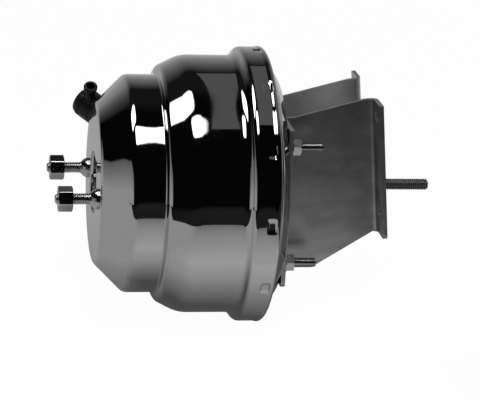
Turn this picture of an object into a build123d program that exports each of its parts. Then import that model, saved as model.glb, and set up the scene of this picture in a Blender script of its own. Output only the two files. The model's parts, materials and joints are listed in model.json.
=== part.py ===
from build123d import *
import math
import os

os.makedirs("parts", exist_ok=True)

# Dual diaphragm vacuum brake booster with a pair of firewall brackets.
# All lengths in millimetres. The pieces are drawn in the booster's own frame: X runs along its axis
# towards the pedal, Z is up, and X = 0 lies just inside the rim's rear edge. At the end all is tilted
# into the vehicle's frame, whose origin is the centre of the firewall bolt pattern.

# Gaps between pieces
GAP = 0.3            # between soft pieces or shells that must not touch
SEAT = 0.05          # between pieces that are seated on each other
RUNNING = 0.05       # radial, between a sliding piece and its bore

# Front shell, outer radii and stations
FRONT_SHEET = 1.8
PILOT_R = 25.0
PILOT_DEPTH = 16.0
PILOT_FLOOR_HOLE_R = 10.0
NOSE_DEPTH = 24.1    # the 45 degree cone, which takes as much radius as length
FRONT_DRUM_R = 89.2
FRONT_DRUM_LENGTH = 24.7
SHOULDER_RISE = 7.1
SHOULDER_R = FRONT_DRUM_R + SHOULDER_RISE
SHOULDER_STEP = 1.7
SHOULDER_LENGTH = 18.5
REAR_DRUM_RISE = 9.4
REAR_DRUM_R = SHOULDER_R + REAR_DRUM_RISE
REAR_DRUM_LENGTH = 43.0
RIM_RISE = 7.2
RIM_R = REAR_DRUM_R + RIM_RISE
RIM_STEP = 4.5
RIM_LENGTH = 18.5
RIM_EDGE_X = 2.3       # the rim's rear edge, a little behind the datum at X = 0
RIM_FLARE = 1.8
RIM_FLARE_LENGTH = 6.0
RIM_LIP = 5.2
FRONT_BENDS = [5, 2.5, 7, 8, 1.5, 6.5, 30, 8, 5, 3, 3.4]   # radii, from the pilot's floor to the rim
DIMPLE_COUNT = 12
DIMPLE_WIDTH = 12.0
DIMPLE_LENGTH = 8.0
DIMPLE_DEPTH = 1.0
DIMPLE_FROM_EDGE = 7.9
DIMPLE_CORNER_R = 2.5
DIMPLE_WALL = 0.8      # how much wider the bump inside is

# Rear shell
REAR_SHEET = 2.5
REAR_FLANGE_WIDTH = 5.8   # of the flat ring inside the rim
REAR_FLANGE_INNER_R = RIM_R - FRONT_SHEET - GAP - REAR_FLANGE_WIDTH
REAR_WALL_LENGTH = 14.0
REAR_FACE_X = 12.0
REAR_WALL_SLANT = 15.0
REAR_WALL_DRAFT = 2.5
REAR_FACE_R = REAR_FLANGE_INNER_R - REAR_WALL_SLANT
TAIL_R = 17.5          # of the power piston's tail, which slides in the neck
NECK_ROOM = 6.5       # for the seal and the sheet round that tail
NECK_R = TAIL_R + NECK_ROOM
NECK_LENGTH = 22.0
NECK_FLARE = 4.0
REAR_BENDS = [3, 10, 6, 5, 5]   # outside radii, from the rim inwards

# Studs and nuts towards the master cylinder
MC_STUD_SPACING = 85.7
MC_STUD_R = 9.525 / 2
MC_THREAD_R = 4.3     # of the end that the nut runs on
MC_STUD_REACH = 34.4
MC_COLLAR_R = 8.4
MC_COLLAR_HEIGHT = 4.2
MC_HEAD_R = 8.0
MC_HEAD_HEIGHT = 3.6
MC_NUT_FLATS = 18.4
MC_NUT_HEIGHT = 11.7
MC_NUT_FROM_TIP = 2.3
MC_COLLAR_TAPER = 2.0
MC_COLLAR_LIP = 1.4
STUD_CHAMFER = 1.2
BACKING_SHEET = 2.5
BACKING_INSET = 5.1  # of its edge from the start of the cone
BACKING_HOLE_GAP = 4.0

# Studs and nuts that hold the brackets
REAR_STUD_INSET = 14.49   # of the bolt circle from the edge of the rear face
REAR_STUD_ANGLE = 40.11   # of each stud above or below the level
REAR_STUD_R = 4.0
REAR_STUD_REACH = 30.0
REAR_HEAD_R = 7.5
REAR_HEAD_HEIGHT = 3.0
REAR_NUT_FLATS = 13.0
REAR_NUT_HEIGHT = 8.2
REAR_NUT_FLANGE_R = 8.9
REAR_NUT_FLANGE_HEIGHT = 1.6
REAR_NUT_TURN = 15.0

# Brackets
PLATE = 3.4
BEND = 3.5           # inside radius of every bend
WEB_INSIDE_Y = 29.8
FLANGE_PAST_STUD = 14.25   # of the booster flange, sideways
FLANGE_OVER_STUD = 17.35
FLANGE_UNDER_STUD = 16.85
WEB_RISE = 3.9             # of the web's lower edge over the flange's
WEB_KINK_X = 22.0
WEB_LOWER_KINK_X = 44.0
FIREWALL_FLANGE_Y = 56.5
FIREWALL_TILT = 5.83
FIREWALL_X = 98.0    # where the firewall's plane crosses the booster's axis
FIREWALL_TOP = 82.8
FIREWALL_BOTTOM = -29.7
FIREWALL_HOLE_R = 5.5
FIREWALL_HOLE_WIDTH = 85.7
FIREWALL_HOLE_DROP = 79.4
FIREWALL_HOLE_FROM_TOP = 12.0
FLANGE_CORNER_R = 11.0
FLANGE_LOWER_CORNER_R = 4.0
WEB_RAMP = 2.0             # along the axis, from the flange's lower edge to the web's
BRACKET_HOLE_GAP = 0.4
BLANK_MARGIN = 20.0        # of the plates the bracket is cut from, beyond its outline
FRONT_BLANK_LENGTH = 46.0  # of the two bent strips that overlap in the web
REAR_BLANK_LENGTH = 56.0
BLANK_WIDTH = 200.0
BLANK_HEIGHT = 400.0

# Power piston and what moves with it
HUB_R = 19.0
HUB_FRONT_X = -84.0
HUB_COLLAR_R = 26.0
HUB_COLLAR_LENGTH = 4.0
HUB_FLANGE_R = 29.0
HUB_FLANGE_X = -2.6
HUB_FLANGE_LENGTH = 4.0
TAIL_END_X = 62.0
TAIL_WALL = 2.5
TAIL_CAVITY_R = TAIL_R - TAIL_WALL
TAIL_CAVITY_X = 9.0
SUPPORT_SHEET = 1.6
DIAPHRAGM = 1.5
PRIMARY_ROLL_ROOM = 19.2     # between a plate's edge and the outside of the drum round it
SECONDARY_ROLL_ROOM = 15.7
PRIMARY_PLATE_R = FRONT_DRUM_R - PRIMARY_ROLL_ROOM
PRIMARY_DISH = 5.0
PRIMARY_BRIM = 18.0          # width of a plate's flat outer ring
PRIMARY_DISH_R = PRIMARY_PLATE_R - PRIMARY_BRIM
SECONDARY_PLATE_R = REAR_DRUM_R - SECONDARY_ROLL_ROOM
SECONDARY_DISH = 6.0
SECONDARY_BRIM = 28.0
SECONDARY_DISH_R = SECONDARY_PLATE_R - SECONDARY_BRIM
DISH_SLANT = 5.0
PLATE_BENDS = [4, 4, 3]
PLATE_LIP = 4.0      # how far a support plate's edge is turned forwards
PLATE_LIP_RISE = 1.8
ROLL_REACH = 4.5     # how far a diaphragm rolls out in front of that edge
ROLL_OVERLAP = 0.5
ROLL_RUN = 2.5
ROLL_RISE = 3.0
ROLL_BENDS = [1.5, 2.0, 2.0, 0.6]
BEAD_INSET = 2.0     # of the sheet's end in the clamped bead
BEAD_LENGTH = 4.6
PRIMARY_BEAD_RISE = 1.8
PRIMARY_BEAD_R = FRONT_DRUM_R + PRIMARY_BEAD_RISE
BEAD_HALF_WIDTH = 2.6
REACTION_R = 13.7
REACTION_THICKNESS = 5.0
REACTION_DEPTH = 10.0   # of its bore in the hub
OUTPUT_ROD_R = 5.0
OUTPUT_HEAD_THICKNESS = 4.9
OUTPUT_TIP_FROM_FACE = 12.0
OUTPUT_TIP_CHAMFER = 1.5
RETAINER_SHEET = 0.85
RETAINER_HOLE_GAP = 1.0
RETAINER_INSET = 4.0
SLOT_WIDTH = 12.0
PORT_SIZE = (42.0, 5.0, 7.0)
PORT_X = -11.0
PORT_Y = 13.8
PLUNGER_STEP = 3.0

# Centre plate between the two chambers
CENTRE_SHEET = 1.5
CENTRE_DISH = 8.0
CENTRE_DISH_R = FRONT_DRUM_R - 29.2
CENTRE_HOLE_R = 24.0
CENTRE_RIM_LENGTH = 14.0
CENTRE_DISH_SLANT = 3.0
CENTRE_BENDS = [3, 3, 2, 20]
CENTRE_SEAL_FLANGE = 2.5    # width and thickness of the seal's flange on each side of the plate
CENTRE_SEAL_FOOT = 1.6      # between its front flange and the hub
CENTRE_SEAL_LIP = 1.2
CENTRE_SEAL_REACH = 8.0

# Valve in the tail of the power piston
VALVE_TRAVEL = 1.8
PLUNGER_NOSE_R = 6.0
PLUNGER_R = 10.0
PLUNGER_SHOULDER_X = -36.0
PLUNGER_SEAT_X = 8.8
BALL_X = 0.0
BALL_R = 7.0
ROD_R = 9.525 / 2
ROD_SHANK_R = 4.35   # of the unthreaded part, about the thread's pitch radius
ROD_THREAD_LENGTH = 50.0
ROD_TIP_X = 145.0
ROD_NECK_R = 3.9
ROD_SHOULDER_R = 8.5
ROD_SHOULDER_LENGTH = 2.0
ROD_CHAMFER = 1.4
ROD_SHOULDER_X = 48.0
KEY_X = -22.0
KEY_THICKNESS = 2.0
KEY_FROM_TOP = 0.5   # of the key's outer end from the hub's outside
KEY_START_Z = 5.0    # of its two prongs from the axis
GROOVE_DEPTH = 3.0
AIR_SEAT_LAND = 1.2
AIR_SEAT_WIDTH = 1.4
AIR_SEAT_DEPTH = 1.5
SOCKET_MOUTH_GAP = 0.7
SOCKET_MOUTH_FLARE = 1.1
POPPET_LENGTH = 18.0
POPPET_WALL = 1.4
POPPET_HOLE_R = 7.0
POPPET_FACE_INSET = 1.0
POPPET_WAIST = 2.0
POPPET_WAIST_START = 6.0
POPPET_WAIST_END = 10.0
POPPET_BENDS = [1.0, 2.5, 2.5]
CUP_SHEET = 1.0
CUP_HOLE_R = 8.2
CUP_LENGTH = 6.0
CUP_BEND = 1.6
FILTER_X = 53.0
FILTER_THICKNESS = 4.0
FILTER_BORE_R = 8.0

# Springs: wire radius, coil radius
RETURN_WIRE_R = 1.8
RETURN_COIL_R = 31.0
RETURN_TURNS = 4.5
POPPET_WIRE_R = 0.5
POPPET_COIL_R = 9.6
POPPET_TURNS = 4
ROD_WIRE_R = 0.7
ROD_COIL_R = 7.4
ROD_TURNS = 5
CHECK_WIRE_R = 0.3
CHECK_COIL_R = 3.4
CHECK_TURNS = 4

# Seal in the pilot's floor
FRONT_SEAL_FLANGE = 3.0
FRONT_SEAL_FACE = 1.6     # thickness of its two flanges
FRONT_SEAL_BACK = 1.4

# Seal, bearing and retainer inside the neck
SEAL_FROM_FACE = 4.0
SEAL_LENGTH = 9.0
SEAL_LIP_WIDTH = 1.4
BEARING_LENGTH = 4.5
NECK_RETAINER_SHEET = 0.8
NECK_RETAINER_INSET = 0.2
NECK_RETAINER_BEND = 1.4

# Dust boot
BOOT_COLLAR_LENGTH = 7.0
BOOT_WALL = 1.4
BOOT_CREST_RISE = 3.0
BOOT_ROOT_DROP = 3.4
BOOT_CREST_R = NECK_R + BOOT_CREST_RISE
BOOT_ROOT_R = NECK_R - BOOT_ROOT_DROP
BOOT_FIRST_FOLD = 2.5    # from the neck's end
BOOT_LAST_FOLD = 6.0     # from the boot's end
BOOT_CONE_LENGTH = 4.0
BOOT_FOLD_R = 1.4
BOOT_BEAD_LENGTH = 3.0
BOOT_BEAD_HEIGHT = 2.6
BOOT_FOLDS = 5
BOOT_END_X = 82.0
BOOT_END_R = 9.5

# Check valve: its stem stands square on the nose cone, on the far side of the top
VALVE_ANGLE = 56.0   # round the axis from the top towards +Y
VALVE_ALONG_CONE = 0.42
GROMMET_R = 13.0
GROMMET_THICKNESS = 3.2
GROMMET_NECK_R = 8.6
STEM_R = 6.0
STEM_DEPTH = 8.2
GROMMET_NECK_DEPTH = 5.2
GROMMET_LIP = 1.6
GROMMET_LIP_HEIGHT = 2.0
GROMMET_LIP_GAP = 0.6
GROMMET_ROUND = 1.2
DRUM_R = 12.6
DRUM_HEIGHT = 13.5
DRUM_TOP_R = 10.5
CAP_HEIGHT = 5.0
CHAMBER_R = 8.0
CHAMBER_HEIGHT = 9.0
DISC_R = 6.6
DISC_THICKNESS = 1.6
NIPPLE_HEIGHT = 8.0  # of its axis above the drum's foot
NIPPLE_REACH = 26.2
NIPPLE_R = 4.75
NIPPLE_ROOT_R = 5.4
BARB_R = 5.7
BARB_LAND = 3.0
BARB_TAPER = 5.0
NIPPLE_BORE_R = 3.3
NIPPLE_ROOT_TAPER = 3.0
BARB_CHAMFER = 0.6
STEM_WALL = 1.8
DRUM_FOOT_ROUND = 1.5
CAP_ROUND = 3.0
NIPPLE_LEAN = (-0.06, -0.592, 0.803)

# Stations along the axis that follow from these
rim_step_x = -RIM_LENGTH
drum_rear_x = rim_step_x - RIM_STEP
shoulder_rear_x = drum_rear_x - REAR_DRUM_LENGTH
shoulder_x = shoulder_rear_x - SHOULDER_LENGTH
step_x = shoulder_x - SHOULDER_STEP
cone_rear_x = step_x - FRONT_DRUM_LENGTH
face_x = cone_rear_x - NOSE_DEPTH
face_r = FRONT_DRUM_R - NOSE_DEPTH
pilot_floor_x = face_x + PILOT_DEPTH
face_back_x = face_x + FRONT_SHEET
backing_back_x = face_back_x + BACKING_SHEET
shell_inner_r = RIM_R - FRONT_SHEET
dimple_x = RIM_EDGE_X - DIMPLE_FROM_EDGE
rear_flange_x = dimple_x - DIMPLE_LENGTH / 2
rear_flange_front_x = rear_flange_x - REAR_SHEET
rear_bead_front_x = rim_step_x + FRONT_SHEET
rear_face_inside_x = REAR_FACE_X - REAR_SHEET
neck_inner_r = NECK_R - REAR_SHEET
neck_end_x = REAR_FACE_X + NECK_LENGTH
bracket_back_x = REAR_FACE_X + PLATE
seal_back_x = REAR_FACE_X + SEAL_FROM_FACE + SEAL_LENGTH
bearing_back_x = seal_back_x + SEAT + BEARING_LENGTH
plate_face_x = HUB_FRONT_X + HUB_COLLAR_LENGTH
centre_front_x = shoulder_x + FRONT_SHEET + BEAD_LENGTH
reaction_back_x = HUB_FRONT_X + REACTION_DEPTH
reaction_front_x = reaction_back_x - REACTION_THICKNESS
rear_stud_circle = REAR_FACE_R - REAR_STUD_INSET
rear_stud_y = rear_stud_circle * math.cos(math.radians(REAR_STUD_ANGLE))
rear_stud_z = rear_stud_circle * math.sin(math.radians(REAR_STUD_ANGLE))
booster_flange_y = rear_stud_y + FLANGE_PAST_STUD
booster_flange_top = rear_stud_z + FLANGE_OVER_STUD
booster_flange_bottom = -rear_stud_z - FLANGE_UNDER_STUD
web_bottom = booster_flange_bottom + WEB_RISE
firewall_slope = math.tan(math.radians(FIREWALL_TILT))
pattern_z = FIREWALL_TOP - FIREWALL_HOLE_FROM_TOP - FIREWALL_HOLE_DROP / 2
pattern_x = FIREWALL_X - pattern_z * firewall_slope

# The firewall's plane in the booster's frame, and the move from there into the vehicle's frame
firewall = Location((pattern_x, 0, pattern_z), (0, -FIREWALL_TILT, 0))
to_vehicle = firewall.inverse()

STANDING = (Align.CENTER, Align.CENTER, Align.MIN)
HANGING = (Align.CENTER, Align.CENTER, Align.MAX)


def turned(points):
    """A ring or disc: a closed outline of (x, radius) points, turned round the axis."""
    outline = make_face(Polyline(*points, close=True))
    return revolve(outline, axis=Axis.X)


def ring(x0, x1, inner_r, outer_r):
    """A plain ring from x0 to x1."""
    return turned([(x0, inner_r), (x1, inner_r), (x1, outer_r), (x0, outer_r)])


def pressed(points, radii, thickness, side=Side.RIGHT):
    """A pressed or moulded sheet: an open outline with rounded corners, thickened to one side."""
    line = FilletPolyline(*points, radius=radii)
    outline = make_face(offset(line, amount=thickness, side=side).edges())
    return revolve(outline, axis=Axis.X)


def rod(x0, x1, radius, y=0.0, z=0.0):
    """A round bar parallel to the axis."""
    disc = Plane(origin=(x0, y, z), z_dir=(1, 0, 0)) * Circle(radius)
    return extrude(disc, amount=x1 - x0)


def coil_spring(x0, x1, coil_r, wire_r, turns):
    """A helical compression spring, with its wire's ends just inside x0 and x1."""
    length = x1 - x0 - 2 * wire_r
    path = Helix(pitch=length / turns, height=length, radius=coil_r)
    start = Plane(origin=path @ 0, z_dir=path % 0)
    wire = sweep(start * Circle(wire_r), path=path)
    return Location((x0 + wire_r, 0, 0), (0, 90, 0)) * wire


def hex_nut(x0, height, flats, bore_r, y, z, turn=0.0):
    """A hexagonal nut with both ends of its corners rounded off."""
    corner_r = flats / math.sqrt(3)
    face = Plane(origin=(x0, y, z), z_dir=(1, 0, 0))
    body = extrude(face * RegularPolygon(corner_r, 6, rotation=turn), amount=height)
    chamfer_drop = corner_r - flats / 2
    blank = extrude(face * Circle(corner_r), amount=height)
    blank = chamfer(blank.edges().filter_by(GeomType.CIRCLE), chamfer_drop * 0.8)
    return (body & blank) - rod(x0 - 1, x0 + height + 1, bore_r, y, z)


def front_outline():
    """The outside of the front shell, from the hole in the pilot's floor to the lip of the rim."""
    points = [(pilot_floor_x, PILOT_FLOOR_HOLE_R), (pilot_floor_x, PILOT_R), (face_x, PILOT_R),
              (face_x, face_r), (cone_rear_x, FRONT_DRUM_R), (step_x, FRONT_DRUM_R),
              (shoulder_x, SHOULDER_R), (shoulder_rear_x, REAR_DRUM_R), (drum_rear_x, REAR_DRUM_R),
              (rim_step_x, RIM_R), (RIM_EDGE_X - RIM_FLARE_LENGTH, RIM_R),
              (RIM_EDGE_X, RIM_R + RIM_FLARE), (RIM_EDGE_X, RIM_R + RIM_FLARE - RIM_LIP)]
    return points, FRONT_BENDS


def rear_stud_places():
    """The four rear studs, as (y, z)."""
    return [(sy * rear_stud_y, sz * rear_stud_z) for sy in (-1, 1) for sz in (-1, 1)]


def valve_plane():
    """The foot of the check valve on the cone: z out along the stem, x along the nipple."""
    angle = math.radians(VALVE_ANGLE)
    radial = Vector(0, math.sin(angle), math.cos(angle))
    stem = (radial - Vector(1, 0, 0)).normalized()
    along = VALVE_ALONG_CONE * NOSE_DEPTH
    foot = Vector(face_x + along, 0, 0) + radial * (face_r + along)
    lean = Vector(*NIPPLE_LEAN)
    nipple = lean - stem * lean.dot(stem)
    return Plane(origin=foot, x_dir=nipple, z_dir=stem)


def dimple():
    """A dent punched into the rim, and the bump inside that holds the rear shell's flange in place."""
    floor_r = RIM_R - DIMPLE_DEPTH
    dent = Pos(dimple_x, 0, floor_r) * Box(DIMPLE_LENGTH, DIMPLE_WIDTH, 4 * DIMPLE_DEPTH, align=STANDING)
    dent = fillet(dent.edges().filter_by(Axis.Z), DIMPLE_CORNER_R)
    length = DIMPLE_LENGTH + DIMPLE_WALL - SEAT
    bump = Pos(rear_flange_x + SEAT + length / 2, 0, floor_r) * Box(
        length, DIMPLE_WIDTH + 2 * DIMPLE_WALL, FRONT_SHEET, align=HANGING)
    bump = fillet(bump.edges().filter_by(Axis.Z), DIMPLE_CORNER_R)
    return dent, bump


def front_shell():
    points, radii = front_outline()
    shell = pressed(points, radii, FRONT_SHEET)
    for sign in (-1, 1):
        shell -= rod(face_x - 1, face_back_x + 1, MC_STUD_R + SEAT, sign * MC_STUD_SPACING / 2)
    dent, bump = dimple()
    for index in range(DIMPLE_COUNT):
        turn = Rot(360 / DIMPLE_COUNT * index, 0, 0)
        shell = shell + turn * bump - turn * dent
    hole = valve_plane() * Pos(0, 0, -6) * Cylinder(GROMMET_NECK_R + SEAT, 12)
    return shell - hole


def rear_shell():
    points = [(rear_flange_x, shell_inner_r - GAP), (rear_flange_x, REAR_FLANGE_INNER_R),
              (rear_flange_x + REAR_WALL_LENGTH, REAR_FLANGE_INNER_R - REAR_WALL_DRAFT),
              (REAR_FACE_X, REAR_FACE_R),
              (REAR_FACE_X, NECK_R + NECK_FLARE), (REAR_FACE_X + NECK_FLARE, NECK_R), (neck_end_x, NECK_R)]
    shell = pressed(points, REAR_BENDS, REAR_SHEET)
    for y, z in rear_stud_places():
        shell -= rod(rear_face_inside_x - 1, REAR_FACE_X + 1, REAR_STUD_R + SEAT, y, z)
    return shell


def backing_ring():
    inner_r = PILOT_R + FRONT_SHEET + BACKING_HOLE_GAP
    plate = ring(face_back_x + SEAT, backing_back_x, inner_r, face_r - BACKING_INSET)
    for sign in (-1, 1):
        plate -= rod(face_x, backing_back_x + 1, MC_STUD_R + SEAT, sign * MC_STUD_SPACING / 2)
    return plate


def centre_plate():
    """The wall between the chambers: dished at the hub, and seated inside the shell's shoulder."""
    slope = (REAR_DRUM_R - SHOULDER_R) / SHOULDER_LENGTH
    reach = FRONT_SHEET * math.hypot(1, slope) + GAP
    edge_r = SHOULDER_R + slope * (centre_front_x - shoulder_x) - reach
    rim_r = REAR_DRUM_R - FRONT_SHEET - GAP
    rim_x = centre_front_x + (rim_r - edge_r) / slope
    points = [(centre_front_x + CENTRE_DISH, CENTRE_HOLE_R),
              (centre_front_x + CENTRE_DISH, CENTRE_DISH_R - CENTRE_DISH_SLANT),
              (centre_front_x, CENTRE_DISH_R), (centre_front_x, edge_r),
              (rim_x, rim_r), (rim_x + CENTRE_RIM_LENGTH, rim_r)]
    return pressed(points, CENTRE_BENDS, CENTRE_SHEET)


def centre_seal():
    """A moulded ring clipped on the centre plate's hole, with a lip that wipes the hub."""
    x = centre_front_x + CENTRE_DISH
    front = x - CENTRE_SEAL_FLANGE
    back = x + CENTRE_SHEET + SEAT
    groove_r = CENTRE_HOLE_R - SEAT
    flange_r = CENTRE_HOLE_R + CENTRE_SEAL_FLANGE
    lip_x = x + CENTRE_SEAL_REACH
    wiper_r = HUB_R + GAP
    return turned([(front, HUB_R + CENTRE_SEAL_FOOT), (front, flange_r), (x - SEAT, flange_r),
                   (x - SEAT, groove_r), (back, groove_r), (back, flange_r),
                   (x + CENTRE_SHEET + CENTRE_SEAL_FLANGE, flange_r), (lip_x, wiper_r + CENTRE_SEAL_LIP),
                   (lip_x, wiper_r), (x + CENTRE_SHEET, wiper_r)])


def plate_outline(x, dish_r, dish, edge_r):
    """The front side of a support plate, from the hub to the edge that is turned forwards."""
    points = [(x, HUB_R + SEAT), (x, dish_r), (x - dish, dish_r + DISH_SLANT), (x - dish, edge_r),
              (x - dish - PLATE_LIP, edge_r + PLATE_LIP_RISE)]
    return points, PLATE_BENDS


def primary_outline():
    return plate_outline(plate_face_x + SEAT, PRIMARY_DISH_R, PRIMARY_DISH, PRIMARY_PLATE_R)


def secondary_outline():
    x = HUB_FLANGE_X - DIAPHRAGM - SUPPORT_SHEET - 3 * SEAT
    return plate_outline(x, SECONDARY_DISH_R, SECONDARY_DISH, SECONDARY_PLATE_R)


def primary_plate():
    points, radii = primary_outline()
    return pressed(points, radii, SUPPORT_SHEET)


def secondary_plate():
    points, radii = secondary_outline()
    return pressed(points, radii, SUPPORT_SHEET)


def diaphragm(outline, wall_r, bead_x0, bead_x1, bead_r):
    """A rubber sheet that lies on the back of its plate, rolls out past its edge and back along
    the shell's wall, and ends in a clamped bead."""
    points, radii = outline
    behind = SUPPORT_SHEET + SEAT
    layer = pressed(points, radii, behind + DIAPHRAGM) - pressed(points, radii, behind)
    tip = Vector(*points[-1])
    along = (tip - Vector(*points[-2])).normalized()
    start = tip + Vector(along.Y, -along.X) * behind
    roll_x = tip.X - ROLL_REACH
    bead_x = bead_x0 + BEAD_INSET
    rolled = [start - along * ROLL_OVERLAP, start + along * ROLL_RUN, (roll_x, start.Y + ROLL_RISE),
              (roll_x, wall_r), (bead_x, wall_r), (bead_x, bead_r)]
    roll = pressed(rolled, ROLL_BENDS, DIAPHRAGM)
    return layer + roll + ring(bead_x0, bead_x1, bead_r - BEAD_HALF_WIDTH, bead_r + BEAD_HALF_WIDTH)


def primary_diaphragm():
    wall_r = FRONT_DRUM_R - FRONT_SHEET - GAP
    bead_x1 = centre_front_x - SEAT
    return diaphragm(primary_outline(), wall_r, bead_x1 - BEAD_LENGTH, bead_x1, PRIMARY_BEAD_R)


def secondary_diaphragm():
    wall_r = REAR_DRUM_R - FRONT_SHEET - GAP
    bead_r = shell_inner_r - GAP - BEAD_HALF_WIDTH
    bead_x0 = rear_bead_front_x + SEAT
    return diaphragm(secondary_outline(), wall_r, bead_x0, rear_flange_front_x - SEAT, bead_r)


def valve_body():
    """The power piston's hub: collar, barrel, flange and tail in one moulding."""
    outside = turned([(HUB_FRONT_X, 0), (HUB_FRONT_X, HUB_COLLAR_R), (plate_face_x, HUB_COLLAR_R),
                      (plate_face_x, HUB_R), (HUB_FLANGE_X, HUB_R), (HUB_FLANGE_X, HUB_FLANGE_R),
                      (HUB_FLANGE_X + HUB_FLANGE_LENGTH, HUB_FLANGE_R),
                      (HUB_FLANGE_X + HUB_FLANGE_LENGTH, TAIL_R), (TAIL_END_X, TAIL_R), (TAIL_END_X, 0)])
    bore = turned([(HUB_FRONT_X - 1, 0), (HUB_FRONT_X - 1, REACTION_R + 2 * SEAT),
                   (reaction_back_x, REACTION_R + 2 * SEAT), (reaction_back_x, PLUNGER_NOSE_R + RUNNING),
                   (PLUNGER_SHOULDER_X - PLUNGER_STEP, PLUNGER_NOSE_R + RUNNING),
                   (PLUNGER_SHOULDER_X - PLUNGER_STEP, PLUNGER_R + RUNNING),
                   (TAIL_CAVITY_X, PLUNGER_R + RUNNING), (TAIL_CAVITY_X, TAIL_CAVITY_R),
                   (TAIL_END_X + 1, TAIL_CAVITY_R), (TAIL_END_X + 1, 0)])
    slot = Pos(KEY_X, 0, 2 * HUB_R) * Box(KEY_THICKNESS + 2 * SEAT, SLOT_WIDTH + 4 * SEAT, 4 * HUB_R)
    air_ports = [Rot(turn, 0, 0) * Pos(PORT_X, PORT_Y, 0) * Box(*PORT_SIZE) for turn in (0, 180)]
    return outside - bore - slot - air_ports


def plunger_key():
    """The flat key that stops the plunger, dropped through the hub's slot."""
    height = HUB_R - KEY_FROM_TOP - KEY_START_Z
    plate = Pos(KEY_X, 0, KEY_START_Z) * Box(KEY_THICKNESS, SLOT_WIDTH, height, align=STANDING)
    return plate - rod(KEY_X - KEY_THICKNESS, KEY_X + KEY_THICKNESS, PLUNGER_R - GROOVE_DEPTH + 2 * GAP)


def air_valve():
    """The plunger: nose, guided barrel with the key's groove, ball socket and the air seat."""
    nose_x = reaction_back_x + VALVE_TRAVEL + GAP
    groove_x0 = KEY_X - KEY_THICKNESS / 2 - GAP
    groove_x1 = KEY_X + KEY_THICKNESS / 2 + VALVE_TRAVEL + GAP
    groove_r = PLUNGER_R - GROOVE_DEPTH
    seat_r = PLUNGER_R - AIR_SEAT_LAND
    mouth_r = ROD_R + SOCKET_MOUTH_GAP
    body = turned([(nose_x, 0), (nose_x, PLUNGER_NOSE_R), (PLUNGER_SHOULDER_X, PLUNGER_NOSE_R),
                   (PLUNGER_SHOULDER_X, PLUNGER_R), (groove_x0, PLUNGER_R), (groove_x0, groove_r),
                   (groove_x1, groove_r), (groove_x1, PLUNGER_R), (PLUNGER_SEAT_X, PLUNGER_R),
                   (PLUNGER_SEAT_X, seat_r), (PLUNGER_SEAT_X - AIR_SEAT_DEPTH, seat_r - AIR_SEAT_WIDTH),
                   (PLUNGER_SEAT_X - AIR_SEAT_DEPTH, 0)])
    socket = Pos(BALL_X, 0, 0) * Sphere(BALL_R + RUNNING)
    mouth = turned([(BALL_X, 0), (BALL_X, mouth_r), (PLUNGER_SEAT_X, mouth_r + SOCKET_MOUTH_FLARE),
                    (PLUNGER_SEAT_X, 0)])
    return body - socket - mouth


def input_pushrod():
    """The pedal rod: ball, shank, spring shoulder and a long threaded end."""
    ball = Pos(BALL_X, 0, 0) * Sphere(BALL_R)
    thread_x = ROD_TIP_X - ROD_THREAD_LENGTH
    shoulder_end = ROD_SHOULDER_X + ROD_SHOULDER_LENGTH
    shank = turned([(BALL_X, 0), (BALL_X, ROD_NECK_R), (PLUNGER_SEAT_X + ROD_NECK_R, ROD_NECK_R),
                    (PLUNGER_SEAT_X + ROD_NECK_R + STUD_CHAMFER, ROD_SHANK_R), (ROD_SHOULDER_X, ROD_SHANK_R),
                    (ROD_SHOULDER_X, ROD_SHOULDER_R), (shoulder_end, ROD_SHOULDER_R),
                    (shoulder_end, ROD_SHANK_R), (thread_x - GAP, ROD_SHANK_R), (thread_x, ROD_R),
                    (ROD_TIP_X - ROD_CHAMFER, ROD_R), (ROD_TIP_X, ROD_R - ROD_CHAMFER), (ROD_TIP_X, 0)])
    return ball + shank


def poppet_valve():
    """The rubber control valve: a face that closes both seats, and a bellows back to its retainer."""
    x = TAIL_CAVITY_X + SEAT
    outer_r = TAIL_CAVITY_R - GAP - POPPET_WALL
    points = [(x, POPPET_HOLE_R), (x, outer_r - POPPET_FACE_INSET),
              (x + POPPET_WAIST_START, outer_r - POPPET_WAIST), (x + POPPET_WAIST_END, outer_r),
              (x + POPPET_LENGTH, outer_r)]
    return pressed(points, POPPET_BENDS, POPPET_WALL)


def poppet_retainer():
    """A pressed cup in the tail that holds the poppet's rear end and carries the springs."""
    x = TAIL_CAVITY_X + POPPET_LENGTH + 2 * SEAT
    outer_r = TAIL_CAVITY_R - SEAT
    points = [(x, CUP_HOLE_R), (x, outer_r), (x + CUP_LENGTH, outer_r)]
    return pressed(points, [CUP_BEND], CUP_SHEET)


def poppet_spring():
    x0 = TAIL_CAVITY_X + SEAT + POPPET_WALL + SEAT
    return coil_spring(x0, TAIL_CAVITY_X + POPPET_LENGTH - SEAT, POPPET_COIL_R, POPPET_WIRE_R,
                       POPPET_TURNS)


def rod_return_spring():
    x0 = TAIL_CAVITY_X + POPPET_LENGTH + CUP_SHEET + 3 * SEAT
    return coil_spring(x0, ROD_SHOULDER_X - SEAT, ROD_COIL_R, ROD_WIRE_R, ROD_TURNS)


def return_spring():
    return coil_spring(backing_back_x + SEAT, plate_face_x - SEAT, RETURN_COIL_R, RETURN_WIRE_R, RETURN_TURNS)


def output_pushrod():
    head_back = reaction_front_x - SEAT
    head_front = head_back - OUTPUT_HEAD_THICKNESS
    tip = face_x + OUTPUT_TIP_FROM_FACE
    return turned([(head_back, 0), (head_back, REACTION_R), (head_front, REACTION_R),
                   (head_front, OUTPUT_ROD_R), (tip + OUTPUT_TIP_CHAMFER, OUTPUT_ROD_R),
                   (tip, OUTPUT_ROD_R - OUTPUT_TIP_CHAMFER), (tip, 0)])


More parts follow.
